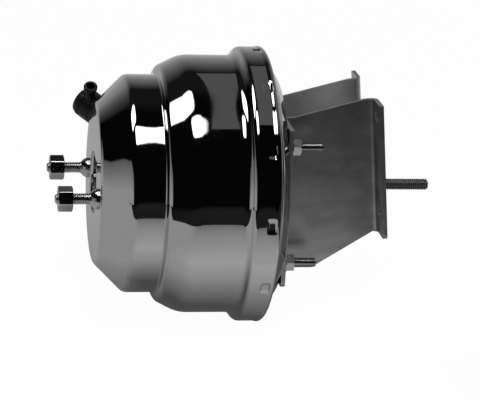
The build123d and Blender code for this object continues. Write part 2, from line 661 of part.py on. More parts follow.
def pushrod_retainer():
    """The pressed washer on the hub that keeps the output rod and the reaction disc in."""
    return ring(HUB_FRONT_X - SEAT - RETAINER_SHEET, HUB_FRONT_X - SEAT, OUTPUT_ROD_R + RETAINER_HOLE_GAP,
                HUB_COLLAR_R - RETAINER_INSET)


def front_seal():
    """The rubber seal in the floor of the pilot, round the output rod."""
    floor_back = pilot_floor_x + FRONT_SHEET
    inner_r = OUTPUT_ROD_R + GAP
    front = pilot_floor_x - FRONT_SEAL_FACE
    lip_r = PILOT_FLOOR_HOLE_R + FRONT_SEAL_FLANGE
    neck_r = PILOT_FLOOR_HOLE_R - SEAT
    return turned([(front, inner_r), (front, lip_r), (pilot_floor_x - SEAT, lip_r),
                   (pilot_floor_x - SEAT, neck_r), (floor_back + SEAT, neck_r), (floor_back + SEAT, lip_r),
                   (floor_back + FRONT_SEAL_BACK, lip_r), (floor_back + FRONT_SEAL_BACK, inner_r)])


def neck_seal():
    x = REAR_FACE_X + SEAL_FROM_FACE
    outer_r = neck_inner_r - SEAT
    return turned([(x, TAIL_R + SEAL_LIP_WIDTH), (x, outer_r), (seal_back_x, outer_r),
                   (seal_back_x, TAIL_R + GAP), (x + SEAL_LIP_WIDTH, TAIL_R + GAP)])


def neck_bearing():
    return ring(seal_back_x + SEAT, bearing_back_x, TAIL_R + RUNNING, neck_inner_r - SEAT)


def neck_retainer():
    """A pressed ring behind the bearing, gripping the inside of the neck."""
    x = bearing_back_x + SEAT
    outer_r = neck_inner_r - SEAT
    points = [(x, TAIL_R + SEAL_LIP_WIDTH), (x, outer_r), (neck_end_x - NECK_RETAINER_INSET, outer_r)]
    return pressed(points, [NECK_RETAINER_BEND], NECK_RETAINER_SHEET)


def air_filter():
    x = FILTER_X + FILTER_THICKNESS + SEAT
    return ring(x, x + FILTER_THICKNESS, FILTER_BORE_R, TAIL_CAVITY_R - SEAT)


def silencer():
    return ring(FILTER_X, FILTER_X + FILTER_THICKNESS, FILTER_BORE_R, TAIL_CAVITY_R - SEAT)


def dust_boot():
    """A bellows from a collar round the neck to an open mouth round the pedal rod."""
    collar_r = NECK_R + GAP
    start_x = neck_end_x - BOOT_COLLAR_LENGTH
    fold_x = neck_end_x + BOOT_FIRST_FOLD
    pitch = (BOOT_END_X - BOOT_LAST_FOLD - fold_x) / BOOT_FOLDS
    points = [(start_x, collar_r), (fold_x, collar_r)]
    for fold in range(BOOT_FOLDS):
        points.append((fold_x + (fold + 0.25) * pitch, BOOT_ROOT_R))
        points.append((fold_x + (fold + 0.75) * pitch, BOOT_CREST_R - BOOT_WALL))
    points += [(BOOT_END_X - BOOT_CONE_LENGTH, BOOT_ROOT_R), (BOOT_END_X, BOOT_END_R)]
    boot = pressed(points, [BOOT_FOLD_R] * (len(points) - 2), BOOT_WALL, Side.LEFT)
    collar = ring(start_x, start_x + BOOT_BEAD_LENGTH, collar_r, collar_r + 2 * BOOT_WALL)
    half_bead = BOOT_BEAD_LENGTH / 2
    mouth = ring(BOOT_END_X - half_bead, BOOT_END_X + half_bead, BOOT_END_R, BOOT_END_R + BOOT_BEAD_HEIGHT)
    return boot + collar + mouth


def master_cylinder_studs():
    studs = []
    for sign in (-1, 1):
        y = sign * MC_STUD_SPACING / 2
        tip = face_x - MC_STUD_REACH
        nut_back = tip + MC_NUT_FROM_TIP + MC_NUT_HEIGHT
        shank = turned([(tip, 0), (tip, MC_THREAD_R - STUD_CHAMFER), (tip + STUD_CHAMFER, MC_THREAD_R),
                        (nut_back + GAP, MC_THREAD_R), (nut_back + 2 * GAP, MC_STUD_R),
                        (face_x - MC_COLLAR_HEIGHT - MC_COLLAR_TAPER, MC_STUD_R),
                        (face_x - MC_COLLAR_HEIGHT, MC_COLLAR_R - MC_COLLAR_LIP),
                        (face_x - MC_COLLAR_LIP, MC_COLLAR_R),
                        (face_x - SEAT, MC_COLLAR_R), (face_x - SEAT, MC_STUD_R),
                        (backing_back_x + SEAT, MC_STUD_R), (backing_back_x + SEAT, MC_HEAD_R),
                        (backing_back_x + MC_HEAD_HEIGHT, MC_HEAD_R), (backing_back_x + MC_HEAD_HEIGHT, 0)])
        studs.append(Pos(0, y, 0) * shank)
    return studs


def master_cylinder_nuts():
    x = face_x - MC_STUD_REACH + MC_NUT_FROM_TIP
    return [hex_nut(x, MC_NUT_HEIGHT, MC_NUT_FLATS, MC_THREAD_R + SEAT, sign * MC_STUD_SPACING / 2, 0)
            for sign in (-1, 1)]


def rear_studs():
    studs = []
    for y, z in rear_stud_places():
        tip = REAR_FACE_X + REAR_STUD_REACH
        head_x = rear_face_inside_x - SEAT
        shank = turned([(head_x - REAR_HEAD_HEIGHT, 0), (head_x - REAR_HEAD_HEIGHT, REAR_HEAD_R),
                        (head_x, REAR_HEAD_R), (head_x, REAR_STUD_R), (tip - STUD_CHAMFER, REAR_STUD_R),
                        (tip, REAR_STUD_R - STUD_CHAMFER), (tip, 0)])
        studs.append(Pos(0, y, z) * shank)
    return studs


def rear_nuts():
    x = bracket_back_x + SEAT
    nuts = []
    for y, z in rear_stud_places():
        nut = hex_nut(x, REAR_NUT_HEIGHT, REAR_NUT_FLATS, REAR_STUD_R + SEAT, y, z, REAR_NUT_TURN)
        skirt = ring(x, x + REAR_NUT_FLANGE_HEIGHT, REAR_STUD_R + SEAT, REAR_NUT_FLANGE_R)
        nuts.append(nut + Pos(0, y, z) * skirt)
    return nuts


def web_outline():
    """The side view of a bracket's web, wide enough at both ends to take in the two flanges."""
    top_x = FIREWALL_X - FIREWALL_TOP * firewall_slope - PLATE - BEND
    bottom_x = FIREWALL_X - FIREWALL_BOTTOM * firewall_slope - PLATE - BEND
    front_x = REAR_FACE_X - GAP
    flange_x = bracket_back_x + BEND
    past = BLANK_MARGIN
    beyond_x = FIREWALL_X + past
    points = [(front_x, booster_flange_bottom), (flange_x, booster_flange_bottom),
              (flange_x + WEB_RAMP, web_bottom), (WEB_LOWER_KINK_X, web_bottom),
              (bottom_x, FIREWALL_BOTTOM), (bottom_x + past * firewall_slope, FIREWALL_BOTTOM - past),
              (beyond_x, FIREWALL_BOTTOM - past), (beyond_x, FIREWALL_TOP + past),
              (top_x - past * firewall_slope, FIREWALL_TOP + past), (top_x, FIREWALL_TOP),
              (WEB_KINK_X, booster_flange_top), (front_x, booster_flange_top)]
    return Plane.XZ * make_face(Polyline(*points, close=True))


def bent_plate(points, low, high):
    """A flat strip bent once, standing from low to high."""
    line = FilletPolyline(*points, radius=BEND + PLATE)
    outline = make_face(offset(line, amount=PLATE, side=Side.LEFT).edges())
    return Pos(0, 0, low) * extrude(outline, amount=high - low)


def bracket():
    """The bracket on the +Y side: a web with a flange bent outwards at each end."""
    front = bent_plate([(REAR_FACE_X + FRONT_BLANK_LENGTH, WEB_INSIDE_Y), (REAR_FACE_X, WEB_INSIDE_Y),
                        (REAR_FACE_X, booster_flange_y)][::-1], booster_flange_bottom, FIREWALL_TOP)
    local_low = (FIREWALL_BOTTOM - pattern_z) / math.cos(math.radians(FIREWALL_TILT))
    local_high = (FIREWALL_TOP - pattern_z) / math.cos(math.radians(FIREWALL_TILT))
    reach = REAR_BLANK_LENGTH
    rear = bent_plate([(0, FIREWALL_FLANGE_Y), (0, WEB_INSIDE_Y), (-reach, WEB_INSIDE_Y)][::-1],
                      local_low - 3 * BLANK_MARGIN, local_high)
    keep = Box(3 * BLANK_MARGIN, BLANK_WIDTH, local_high - local_low, align=STANDING)
    flange_zone = Pos(0, 0, local_low) * keep
    web_zone = Pos(-reach / 2 - PLATE - BEND, 0, 0) * Box(reach, BLANK_WIDTH, BLANK_HEIGHT)
    rear = firewall * (rear & (flange_zone + web_zone))
    both = front + rear
    side = extrude(web_outline(), amount=BLANK_WIDTH / 2, both=True)
    return both & side


def finished_bracket():
    plate = bracket()
    outer = plate.edges().filter_by(lambda e: e.center().Y > FIREWALL_FLANGE_Y - GAP)
    corners = [e for e in outer if e.length < PLATE + GAP and abs(e.tangent_at(0.5).X) > 0.9]
    upper = [e for e in corners if e.center().Z > 0]
    lower = [e for e in corners if e.center().Z < 0]
    plate = fillet(upper, FLANGE_CORNER_R)
    plate = fillet(lower, FLANGE_LOWER_CORNER_R)
    for y, z in rear_stud_places():
        if y > 0:
            plate -= rod(REAR_FACE_X - 1, bracket_back_x + 1, REAR_STUD_R + BRACKET_HOLE_GAP, y, z)
    for side in (-1, 1):
        hole = rod(-PLATE - 1, 1, FIREWALL_HOLE_R, FIREWALL_HOLE_WIDTH / 2, side * FIREWALL_HOLE_DROP / 2)
        plate -= firewall * hole
    return plate


def check_valve_grommet():
    """A rubber grommet on the cone, thick enough outside to make a flat seat for the valve."""
    neck = Cylinder(GROMMET_NECK_R, GROMMET_NECK_DEPTH, align=HANGING)
    flange = Cylinder(GROMMET_R, GROMMET_THICKNESS, align=STANDING)
    flange = fillet(flange.edges().filter_by(GeomType.CIRCLE).sort_by(Axis.Z)[-1], GROMMET_ROUND)
    lip = Cylinder(GROMMET_NECK_R + GROMMET_LIP, GROMMET_LIP_HEIGHT, align=HANGING)
    stem = Cylinder(STEM_R + SEAT, 60)
    return valve_plane() * (neck + flange + Pos(0, 0, -FRONT_SHEET - GROMMET_LIP_GAP) * lip - stem)


def drum_floor():
    return GROMMET_THICKNESS + SEAT


def check_valve_body():
    """Drum, stem and nipple in one moulding, with the chamber for the disc inside."""
    z0 = drum_floor()
    drum = Pos(0, 0, z0) * Cylinder(DRUM_R, DRUM_HEIGHT, align=STANDING)
    drum = fillet(drum.edges().filter_by(GeomType.CIRCLE).sort_by(Axis.Z)[0], DRUM_FOOT_ROUND)
    root = STEM_WALL    # how far the stem and the drum run into each other
    stem = Pos(0, 0, z0 + root) * Cylinder(STEM_R, STEM_DEPTH + root, align=HANGING)
    profile = [(0, 0), (0, NIPPLE_ROOT_R), (DRUM_R, NIPPLE_ROOT_R), (DRUM_R + NIPPLE_ROOT_TAPER, NIPPLE_R),
               (NIPPLE_REACH - BARB_LAND - BARB_TAPER, NIPPLE_R), (NIPPLE_REACH - BARB_LAND, BARB_R),
               (NIPPLE_REACH - BARB_CHAMFER, BARB_R), (NIPPLE_REACH, BARB_R - BARB_CHAMFER), (NIPPLE_REACH, 0)]
    nipple = Pos(0, 0, z0 + NIPPLE_HEIGHT) * turned(profile)
    bore = Pos(0, 0, z0 + NIPPLE_HEIGHT) * rod(0, NIPPLE_REACH + 1, NIPPLE_BORE_R)
    chamber = Pos(0, 0, z0 + DRUM_HEIGHT - CHAMBER_HEIGHT) * Cylinder(
        CHAMBER_R, CHAMBER_HEIGHT, align=STANDING)
    passage = Pos(0, 0, z0) * Cylinder(STEM_R - STEM_WALL, 2 * CHAMBER_R + DRUM_HEIGHT)
    return valve_plane() * (drum + stem + nipple - bore - chamber - passage)


def check_valve_cap():
    """The domed cap welded on the open end of the drum."""
    z0 = drum_floor() + DRUM_HEIGHT + SEAT
    cap = Pos(0, 0, z0) * Cone(DRUM_R, DRUM_TOP_R, CAP_HEIGHT, align=STANDING)
    cap = fillet(cap.edges().filter_by(GeomType.CIRCLE).sort_by(Axis.Z)[-1], CAP_ROUND)
    return valve_plane() * cap


def check_disc_floor():
    return drum_floor() + DRUM_HEIGHT - CHAMBER_HEIGHT + SEAT


def check_valve_disc():
    disc = Cylinder(DISC_R, DISC_THICKNESS, align=STANDING)
    return valve_plane() * Pos(0, 0, check_disc_floor()) * disc


def check_valve_spring():
    z0 = check_disc_floor() + DISC_THICKNESS + SEAT
    z1 = drum_floor() + DRUM_HEIGHT
    spring = Rot(0, -90, 0) * coil_spring(z0, z1, CHECK_COIL_R, CHECK_WIRE_R, CHECK_TURNS)
    return valve_plane() * spring


def export(name, shape):
    """Write one node, moved into the vehicle's frame."""
    pieces = shape if isinstance(shape, list) else [shape]
    moved = [to_vehicle * piece for piece in pieces]
    solids = [solid for piece in moved for solid in piece.solids()]
    whole = solids[0] if len(solids) == 1 else Compound(children=solids)
    whole.label = name
    export_step(whole, os.path.join("parts", name + ".step"))


def main():
    makers = [front_shell, rear_shell, backing_ring, centre_plate, centre_seal, primary_plate,
              secondary_plate, primary_diaphragm, secondary_diaphragm, valve_body, plunger_key,
              air_valve, input_pushrod, poppet_valve, poppet_retainer, poppet_spring,
              rod_return_spring, return_spring, output_pushrod, pushrod_retainer, front_seal,
              neck_seal, neck_bearing, neck_retainer, air_filter, silencer, dust_boot,
              master_cylinder_studs, master_cylinder_nuts, rear_studs, rear_nuts,
              check_valve_grommet, check_valve_body, check_valve_cap, check_valve_disc,
              check_valve_spring]
    for maker in makers:
        export(maker.__name__, maker())
    reaction = ring(reaction_front_x, reaction_back_x - SEAT, 0, REACTION_R)
    export("reaction_disc", reaction)
    right = finished_bracket()
    export("right_bracket", right)
    export("left_bracket", mirror(right, about=Plane.XZ))


main()
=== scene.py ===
import json
import math
import bpy
from mathutils import Matrix, Vector

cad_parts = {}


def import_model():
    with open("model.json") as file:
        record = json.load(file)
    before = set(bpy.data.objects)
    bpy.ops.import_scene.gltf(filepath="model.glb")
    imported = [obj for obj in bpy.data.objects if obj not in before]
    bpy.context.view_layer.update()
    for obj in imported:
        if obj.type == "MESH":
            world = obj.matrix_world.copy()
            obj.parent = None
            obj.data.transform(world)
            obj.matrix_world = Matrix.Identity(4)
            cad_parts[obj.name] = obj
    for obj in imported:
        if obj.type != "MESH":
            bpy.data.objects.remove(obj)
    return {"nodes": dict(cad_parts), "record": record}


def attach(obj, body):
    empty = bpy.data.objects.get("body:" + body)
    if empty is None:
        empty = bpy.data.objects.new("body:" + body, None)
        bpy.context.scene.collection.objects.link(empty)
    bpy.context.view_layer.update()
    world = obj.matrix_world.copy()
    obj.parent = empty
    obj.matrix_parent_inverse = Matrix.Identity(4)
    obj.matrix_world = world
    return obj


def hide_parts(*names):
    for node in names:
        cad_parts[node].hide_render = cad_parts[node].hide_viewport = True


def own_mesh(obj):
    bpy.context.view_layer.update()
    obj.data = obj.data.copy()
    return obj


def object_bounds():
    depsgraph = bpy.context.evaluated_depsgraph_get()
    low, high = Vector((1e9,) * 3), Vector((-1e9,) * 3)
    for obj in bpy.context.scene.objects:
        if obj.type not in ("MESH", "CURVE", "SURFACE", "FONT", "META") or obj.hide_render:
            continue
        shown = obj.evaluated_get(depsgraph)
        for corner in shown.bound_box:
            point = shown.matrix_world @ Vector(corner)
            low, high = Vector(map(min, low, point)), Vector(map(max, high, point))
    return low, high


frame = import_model()
cad_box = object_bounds()
nodes = frame["nodes"]

MM = 0.001
INCH = 25.4
TINY = 1e-6

# Lengths are in millimetres, apart from the materials and the stage, which say metres. The booster's own
# frame has X along its axis towards the pedal, Z up, and X = 0 just inside the rim's rear edge. It leans
# in the row's frame, whose origin is the middle of the firewall holes.
LEAN = math.radians(5.83)  # nose up
FIREWALL_X = 98.0          # where the firewall's plane crosses the booster's axis
PATTERN_Z = 31.1           # of the middle of the holes
PATTERN_X = FIREWALL_X - PATTERN_Z * math.tan(LEAN)
turn_to_row = Matrix.Rotation(LEAN, 4, "Y")
to_row = Matrix.Scale(MM, 4) @ turn_to_row @ Matrix.Translation((-PATTERN_X, 0, -PATTERN_Z))

# Room between pieces
GAP = 0.3                  # between shells or soft pieces that must not touch
SEAT = 0.05                # between pieces that are seated on each other

# How finely round shapes are divided
BEND_ANGLE = 0.8           # radians of a bend that take the given number of steps
SMALLEST_BEND = 0.15
LONGEST_SIDE = 9.0         # of a shell's outline
SHELL_SIDES = 256
ROUND_SIDES = 96
NIPPLE_SIDES = 64
STUD_SIDES = 28
REAR_STUD_SIDES = 24

# Front shell: outside radii, and lengths along the axis
FRONT_SHEET = 1.8
PILOT_HOLE_R = 10.0
PILOT_R = 25.0
PILOT_DEPTH = 16.0
NOSE_DEPTH = 24.1          # of the cone, which takes as much radius as length
FRONT_DRUM_R = 89.2
FRONT_DRUM_LENGTH = 24.7
SHOULDER_R = 96.3
SHOULDER_STEP = 1.7
SHOULDER_LENGTH = 18.5
REAR_DRUM_R = 105.7
REAR_DRUM_LENGTH = 43.0
RIM_R = 112.9
RIM_STEP = 4.5
RIM_LENGTH = 18.5
RIM_EDGE_X = 2.3
RIM_FLARE = 1.8
RIM_FLARE_LENGTH = 6.0
RIM_LIP = 5.2
FRONT_BENDS = [5, 2.5, 7, 8, 1.5, 6.5, 30, 8, 5, 3, 3.4]     # radii, from the pilot's floor to the rim
FRONT_BEND_STEPS = 7
BACKING_SHEET = 2.5        # behind the flat nose

# Dimples in the rim
DIMPLE_COUNT = 12
DIMPLE_LENGTH = 8.0
DIMPLE_WIDTH = 12.0
DIMPLE_DEPTH = 1.2
DIMPLE_FROM_EDGE = 7.9
DIMPLE_SQUARENESS = 5      # the power that gives its outline squarish corners
DIMPLE_FLOOR = 0.50        # it is flat up to this share of its half size
DIMPLE_END = 1.12          # and fades out at this one
DIMPLE_ROW = 0.35          # between the rows of points in and near a dimple
DIMPLE_FINE = 18           # sides across a dimple
DIMPLE_COARSE = 9          # sides between two dimples
DIMPLE_FINE_REACH = 1.25   # half widths that the fine sides cover
DIMPLE_PUSH_REACH = 1.3    # half lengths within which it shapes the rim
DIMPLE_ROWS_REACH = 1.5    # half lengths that the close rows cover
OUTSIDE_DEPTH = 0.6        # under the rim's radius, where its sheet still counts as the outside
ROUNDING = 0.01            # more than what numbers are rounded by

# Rear shell
REAR_SHEET = 2.5
REAR_FLANGE_WIDTH = 5.8
REAR_WALL_LENGTH = 14.0
REAR_WALL_DRAFT = 2.5
REAR_WALL_SLANT = 15.0
REAR_FACE_X = 12.0
NECK_R = 24.0
NECK_LENGTH = 22.0
NECK_FLARE = 4.0
REAR_BENDS = [3, 10, 6, 5, 5]

# Threads: their depth and how they run in and out are shares of the pitch
THREAD_DEPTH = 0.58
THREAD_FLAT = 0.12         # of the way from crest to root, at each end of it
THREAD_RUN_IN = 0.6
THREAD_RUN_OUT = 0.9
THREAD_ROWS = 8            # of points for each turn
SHORTEST_THREAD = 0.2      # a shorter side of the profile stays undivided

# Studs and nuts on the nose
STUD_CHAMFER = 1.2
NOSE_STUD_Y = 42.85
NOSE_STUD_R = 4.7625
NOSE_STUD_REACH = 34.4
NOSE_THREAD_R = 4.3
NOSE_PITCH = INCH / 16
NOSE_COLLAR_R = 8.4
NOSE_COLLAR_HEIGHT = 4.2
NOSE_COLLAR_TAPER = 2.0
NOSE_COLLAR_LIP = 1.4
NOSE_HEAD_R = 8.0
NOSE_HEAD_HEIGHT = 3.6
NOSE_NUT_FROM_TIP = 2.3
NOSE_NUT_FLATS = 18.4
NOSE_NUT_HEIGHT = 11.7
NOSE_NUT_TURNS = (51.0, 45.0)      # of a flat from straight up, in degrees: the near nut, the far one
NUT_CHAMFER = math.radians(30)
NUT_CHAMFER_ROWS = 6
NUT_FACE_INSET = 0.6       # of the end face's edge from the flats
NUT_CORNER_LOSS = 0.35     # how much the corners are worn off
NUT_LONGEST_SIDE = 4.0
NUT_SIDES = 180

# Studs that hold the brackets
REAR_STUD_Y = 57.75
REAR_STUD_Z = 48.65
REAR_STUD_R = 4.0
REAR_STUD_REACH = 30.0
REAR_PITCH = INCH / 18
REAR_HEAD_R = 7.5
REAR_HEAD_HEIGHT = 3.0
REAR_HEAD_CHAMFER = 0.4

# Pedal rod
BALL_R = 7.0
BALL_STEPS = 40            # in half a turn, of which the neck hides the last ones
BALL_POINTS = 34
ROD_R = 4.7625
ROD_NECK_R = 3.96
ROD_NECK = (9.6, 12.8)     # from where to where the neck is even
ROD_SHANK_X = 14.8
ROD_SHANK_R = 4.35
ROD_SHOULDER_X = 48.0
ROD_SHOULDER_LENGTH = 2.0
ROD_SHOULDER_R = 8.5
ROD_SHOULDER_CHAMFER = 0.3
ROD_THREAD_X = 95.0
ROD_THREAD_START = 0.5
ROD_TIP_X = 145.0
ROD_CHAMFER = 1.4
ROD_PITCH = INCH / 16

# Return spring
PISTON_PLATE_X = -80.0     # what the spring pushes on
SPRING_COIL_R = 31.0
SPRING_WIRE_R = 1.8
SPRING_TURNS = 4.5
SPRING_END_TURN = 0.75     # of flat wire at each end
SPRING_STEPS = 40          # in each turn
SPRING_SIDES = 10          # round the wire

# Dust boot
BOOT_WALL = 1.4
BOOT_COLLAR_LENGTH = 7.0
BOOT_CREST_R = 27.0
BOOT_ROOT_R = 20.6
BOOT_FOLDS = 5
BOOT_ROOT_AT = 0.25        # of a fold's length
BOOT_CREST_AT = 0.75
BOOT_FOLD_BEND = 1.4
BOOT_FIRST_FOLD = 2.5      # from the neck's end
BOOT_LAST_FOLD = 6.0       # from the boot's end
BOOT_CONE_LENGTH = 4.0
BOOT_BEAD_LENGTH = 3.0
BOOT_BEAD_HEIGHT = 2.6
BOOT_BEAD_BEND = 1.2
BOOT_COLLAR_BENDS = [0.3, 1.0, 1.0, 0.6]
BOOT_END_X = 82.0
BOOT_END_R = 9.5
BELLOWS_START = 0.2        # behind the neck's end
COLLAR_END = 0.3           # behind the neck's end, so that the two overlap

# Check valve on the cone: heights are along its stem, from the cone's surface
VALVE_ANGLE = math.radians(56.0)      # round the axis, from the top towards +Y
VALVE_ALONG_CONE = 0.42
NIPPLE_LEAN = Vector((-0.06, -0.592, 0.803))
GROMMET_R = 13.0
GROMMET_THICKNESS = 3.2
GROMMET_NECK_R = 8.6
GROMMET_NECK_DEPTH = 5.2
GROMMET_LIP = 1.6
GROMMET_LIP_HEIGHT = 2.0
GROMMET_LIP_GAP = 0.6
GROMMET_SINK = 0.1         # of its flange's underside into the cone, next to the neck
GROMMET_RISE = 0.02        # and over the cone, at the flange's edge
GROMMET_BENDS = [0.2, 0.1, 0.4, 0.4, 0.1, 0.1, 0.2, 1.2]
STEM_R = 6.0
STEM_DEPTH = 8.2
STEM_CHAMFER = 0.8
DRUM_R = 12.6
DRUM_HEIGHT = 13.5
DRUM_GROOVE_Z = 10.6
DRUM_GROOVE_WIDTH = 0.8
DRUM_GROOVE_DEPTH = 0.5
DRUM_BENDS = [0.2, 0.2, 0.2, 1.5, 0.1, 0.1, 0.1, 0.1, 0.3]
NIPPLE_HEIGHT = 8.0        # of its axis over the drum's foot
NIPPLE_START = 2.0
NIPPLE_REACH = 26.2
NIPPLE_BORE_R = 3.3
NIPPLE_ROOT_R = 5.4
NIPPLE_ROOT_TAPER = 3.0
NIPPLE_R = 4.75
BARB_R = 5.7
BARB_LAND = 3.0
BARB_TAPER = 5.0
BARB_CHAMFER = 0.8
NIPPLE_BENDS = [0.2, 1.0, 1.5, 0.6, 0.5, 0.5, 0.4]
CAP_HEIGHT = 5.0
CAP_TOP_R = 10.5
CAP_BENDS = [0.2, 3.0]

# Edges of the brackets, in metres
BRACKET_EDGE = 0.0004
BRACKET_EDGE_ANGLE = math.radians(50)

# Stations along the axis that follow from these
rim_step_x = -RIM_LENGTH
rear_drum_back_x = rim_step_x - RIM_STEP
shoulder_back_x = rear_drum_back_x - REAR_DRUM_LENGTH
shoulder_x = shoulder_back_x - SHOULDER_LENGTH
step_x = shoulder_x - SHOULDER_STEP
cone_back_x = step_x - FRONT_DRUM_LENGTH
face_x = cone_back_x - NOSE_DEPTH
face_r = FRONT_DRUM_R - NOSE_DEPTH
backing_back_x = face_x + FRONT_SHEET + BACKING_SHEET
dimple_x = RIM_EDGE_X - DIMPLE_FROM_EDGE
neck_end_x = REAR_FACE_X + NECK_LENGTH


# Small geometry helpers

def rounded(points, radii, steps=6):
    """An open outline with its inner corners rounded, as a list of points."""
    line = [Vector(points[0])]
    for index, radius in enumerate(radii):
        before, corner, after = (Vector(point) for point in points[index:index + 3])
        to_before = (before - corner).normalized()
        to_after = (after - corner).normalized()
        half_angle = to_before.angle(to_after) / 2
        cut = radius / math.tan(half_angle)
        centre = corner + (to_before + to_after).normalized() * (radius / math.sin(half_angle))
        start = corner + to_before * cut - centre
        end = corner + to_after * cut - centre
        sweep = start.angle_signed(end)
        count = max(2, int(steps * abs(sweep) / BEND_ANGLE) + 1)
        line += [centre + Matrix.Rotation(-sweep * step / count, 2) @ start for step in range(count + 1)]
    line.append(Vector(points[-1]))
    return line


def beside(points, distance):
    """The corners of the outline that lies at this distance to the right of the given one."""
    normals = []
    for a, b in zip(points, points[1:]):
        along = (Vector(b) - Vector(a)).normalized()
        normals.append(Vector((along.y, -along.x)))
    corners = zip(points, normals[:1] + normals, normals + normals[-1:])
    return [Vector(point) + (n0 + n1) * (distance / (1 + n0.dot(n1))) for point, n0, n1 in corners]


def sheet_loop(points, radii, thickness, steps=6):
    """A closed outline: a rounded line and the line beside it, with matching bend radii."""
    other_radii = []
    for index, radius in enumerate(radii):
        a, b, c = (Vector(point) for point in points[index:index + 3])
        bend = (b - a).angle_signed(c - b)
        other_radii.append(max(SMALLEST_BEND, radius - math.copysign(thickness, bend)))
    other = rounded(beside(points, thickness), other_radii, steps)
    return rounded(points, radii, steps) + other[::-1]


def denser(loop, longest=LONGEST_SIDE):
    """The same closed outline with extra points, so that no side is longer than this."""
    out = []
    for a, b in zip(loop, loop[1:] + loop[:1]):
        parts = max(1, math.ceil((b - a).length / longest))
        out += [a.lerp(b, part / parts) for part in range(parts)]
    return out


def even_angles(count):
    return [2 * math.pi * k / count for k in range(count)]


def revolved(line, angles, push=None, closed=True):
    """Verts and faces of an outline of (x, radius) turned round the X axis. push(x, r, angle) gives
    a new radius. An open outline that starts and ends on the axis makes a solid of its own."""
    verts, faces, rows = [], [], []
    for x, r in line:
        if r < TINY:
            ring = [(x, 0, 0)]
        else:
            radii = [push(x, r, angle) if push else r for angle in angles]
            ring = [(x, radius * math.sin(a), radius * math.cos(a)) for radius, a in zip(radii, angles)]
        rows.append(range(len(verts), len(verts) + len(ring)))
        verts += ring
    pairs = list(zip(rows, rows[1:]))
    if closed:
        pairs.append((rows[-1], rows[0]))
    for a, b in pairs:
        for k in range(len(angles)):
            n = (k + 1) % len(angles)
            if len(a) == 1:
                faces.append((a[0], b[n], b[k]))
            elif len(b) == 1:
                faces.append((a[k], a[n], b[0]))
            else:
                faces.append((a[k], a[n], b[n], b[k]))
    return verts, faces


def joined(parts):
    """Several (verts, faces) as one."""
    verts, faces = [], []
    for more_verts, more_faces in parts:
        base = len(verts)
        verts += more_verts
        faces += [tuple(v + base for v in face) for face in more_faces]
    return verts, faces


def moved(part, matrix):
    return [matrix @ Vector(v) for v in part[0]], part[1]


def copies(part, places):
    """The same part at several (y, z)."""
    return joined([moved(part, Matrix.Translation((0, y, z))) for y, z in places])


def clamped(value):
    return min(1.0, max(0.0, value))


def threaded_bar(profile, x0, x1, pitch, sides=STUD_SIDES):
    """A bar with a helical thread between x0 and x1. The profile is (x, radius), from axis to axis."""
    line = []
    for (xa, ra), (xb, rb) in zip(profile, profile[1:]):
        inside = min(xa, xb) >= x0 - TINY and max(xa, xb) <= x1 + TINY
        long_enough = abs(xb - xa) > SHORTEST_THREAD
        parts = max(1, math.ceil(abs(xb - xa) / pitch * THREAD_ROWS)) if inside and long_enough else 1
        line += [Vector((xa + (xb - xa) * k / parts, ra + (rb - ra) * k / parts)) for k in range(parts)]
    line.append(Vector(profile[-1]))

    def push(x, r, angle):
        if x <= x0 or x >= x1:
            return r
        rise = abs(2 * ((x / pitch + angle / (2 * math.pi)) % 1.0) - 1)
        share = clamped((rise - THREAD_FLAT) / (1 - 2 * THREAD_FLAT))
        run = min(1.0, (x - x0) / (THREAD_RUN_IN * pitch), (x1 - x) / (THREAD_RUN_OUT * pitch))
        return r - run * share * THREAD_DEPTH * pitch

    return revolved(line, even_angles(sides), push, closed=False)


def hex_nut(x0, height, flats, bore_r, turn):
    """A hexagonal nut whose corners are rounded off at both ends. turn is where one flat faces."""
    x1 = x0 + height
    half = flats / 2
    corner_r = flats / math.sqrt(3)
    slope = math.tan(NUT_CHAMFER)
    chamfer = (corner_r - half) * slope
    face_edge_r = half - NUT_FACE_INSET
    steps = [chamfer * k / NUT_CHAMFER_ROWS for k in range(NUT_CHAMFER_ROWS + 1)]
    front = [(x0, bore_r), (x0, face_edge_r)] + [(x0 + step, corner_r) for step in steps]
    back = [(x1, bore_r), (x1, face_edge_r)] + [(x1 - step, corner_r) for step in steps]
    loop = [Vector(point) for point in front + back[::-1]]

    def push(x, r, angle):
        if r < half:
            return r
        off = (angle - turn + math.pi / 6) % (math.pi / 3) - math.pi / 6
        from_end = max(0.0, min(x - x0, x1 - x))
        return min(half / math.cos(off), corner_r - NUT_CORNER_LOSS, half + from_end / slope)

    return revolved(denser(loop, NUT_LONGEST_SIDE), even_angles(NUT_SIDES), push)


def coil(x0, x1, coil_r, wire_r, turns):
    """A helical spring with flat, closed ends."""
    start, end = x0 + wire_r, x1 - wire_r
    steps = int((turns + 2 * SPRING_END_TURN) * SPRING_STEPS)
    sides = range(SPRING_SIDES)
    verts, faces = [], []
    for k in range(steps + 1):
        angle = 2 * math.pi * k / SPRING_STEPS
        share = clamped((k / SPRING_STEPS - SPRING_END_TURN) / turns)
        out = Vector((0, math.sin(angle), math.cos(angle)))
        centre = Vector((start + (end - start) * share, 0, 0)) + out * coil_r
        for a in even_angles(SPRING_SIDES):
            verts.append(centre + out * (wire_r * math.cos(a)) + Vector((wire_r * math.sin(a), 0, 0)))
    for k in range(steps):
        here, after = k * SPRING_SIDES, (k + 1) * SPRING_SIDES
        for j in sides:
            n = (j + 1) % SPRING_SIDES
            faces.append((here + j, here + n, after + n, after + j))
    faces.append(tuple(reversed(sides)))
    faces.append(tuple(steps * SPRING_SIDES + j for j in sides))
    return verts, faces


# Materials, with lengths in metres

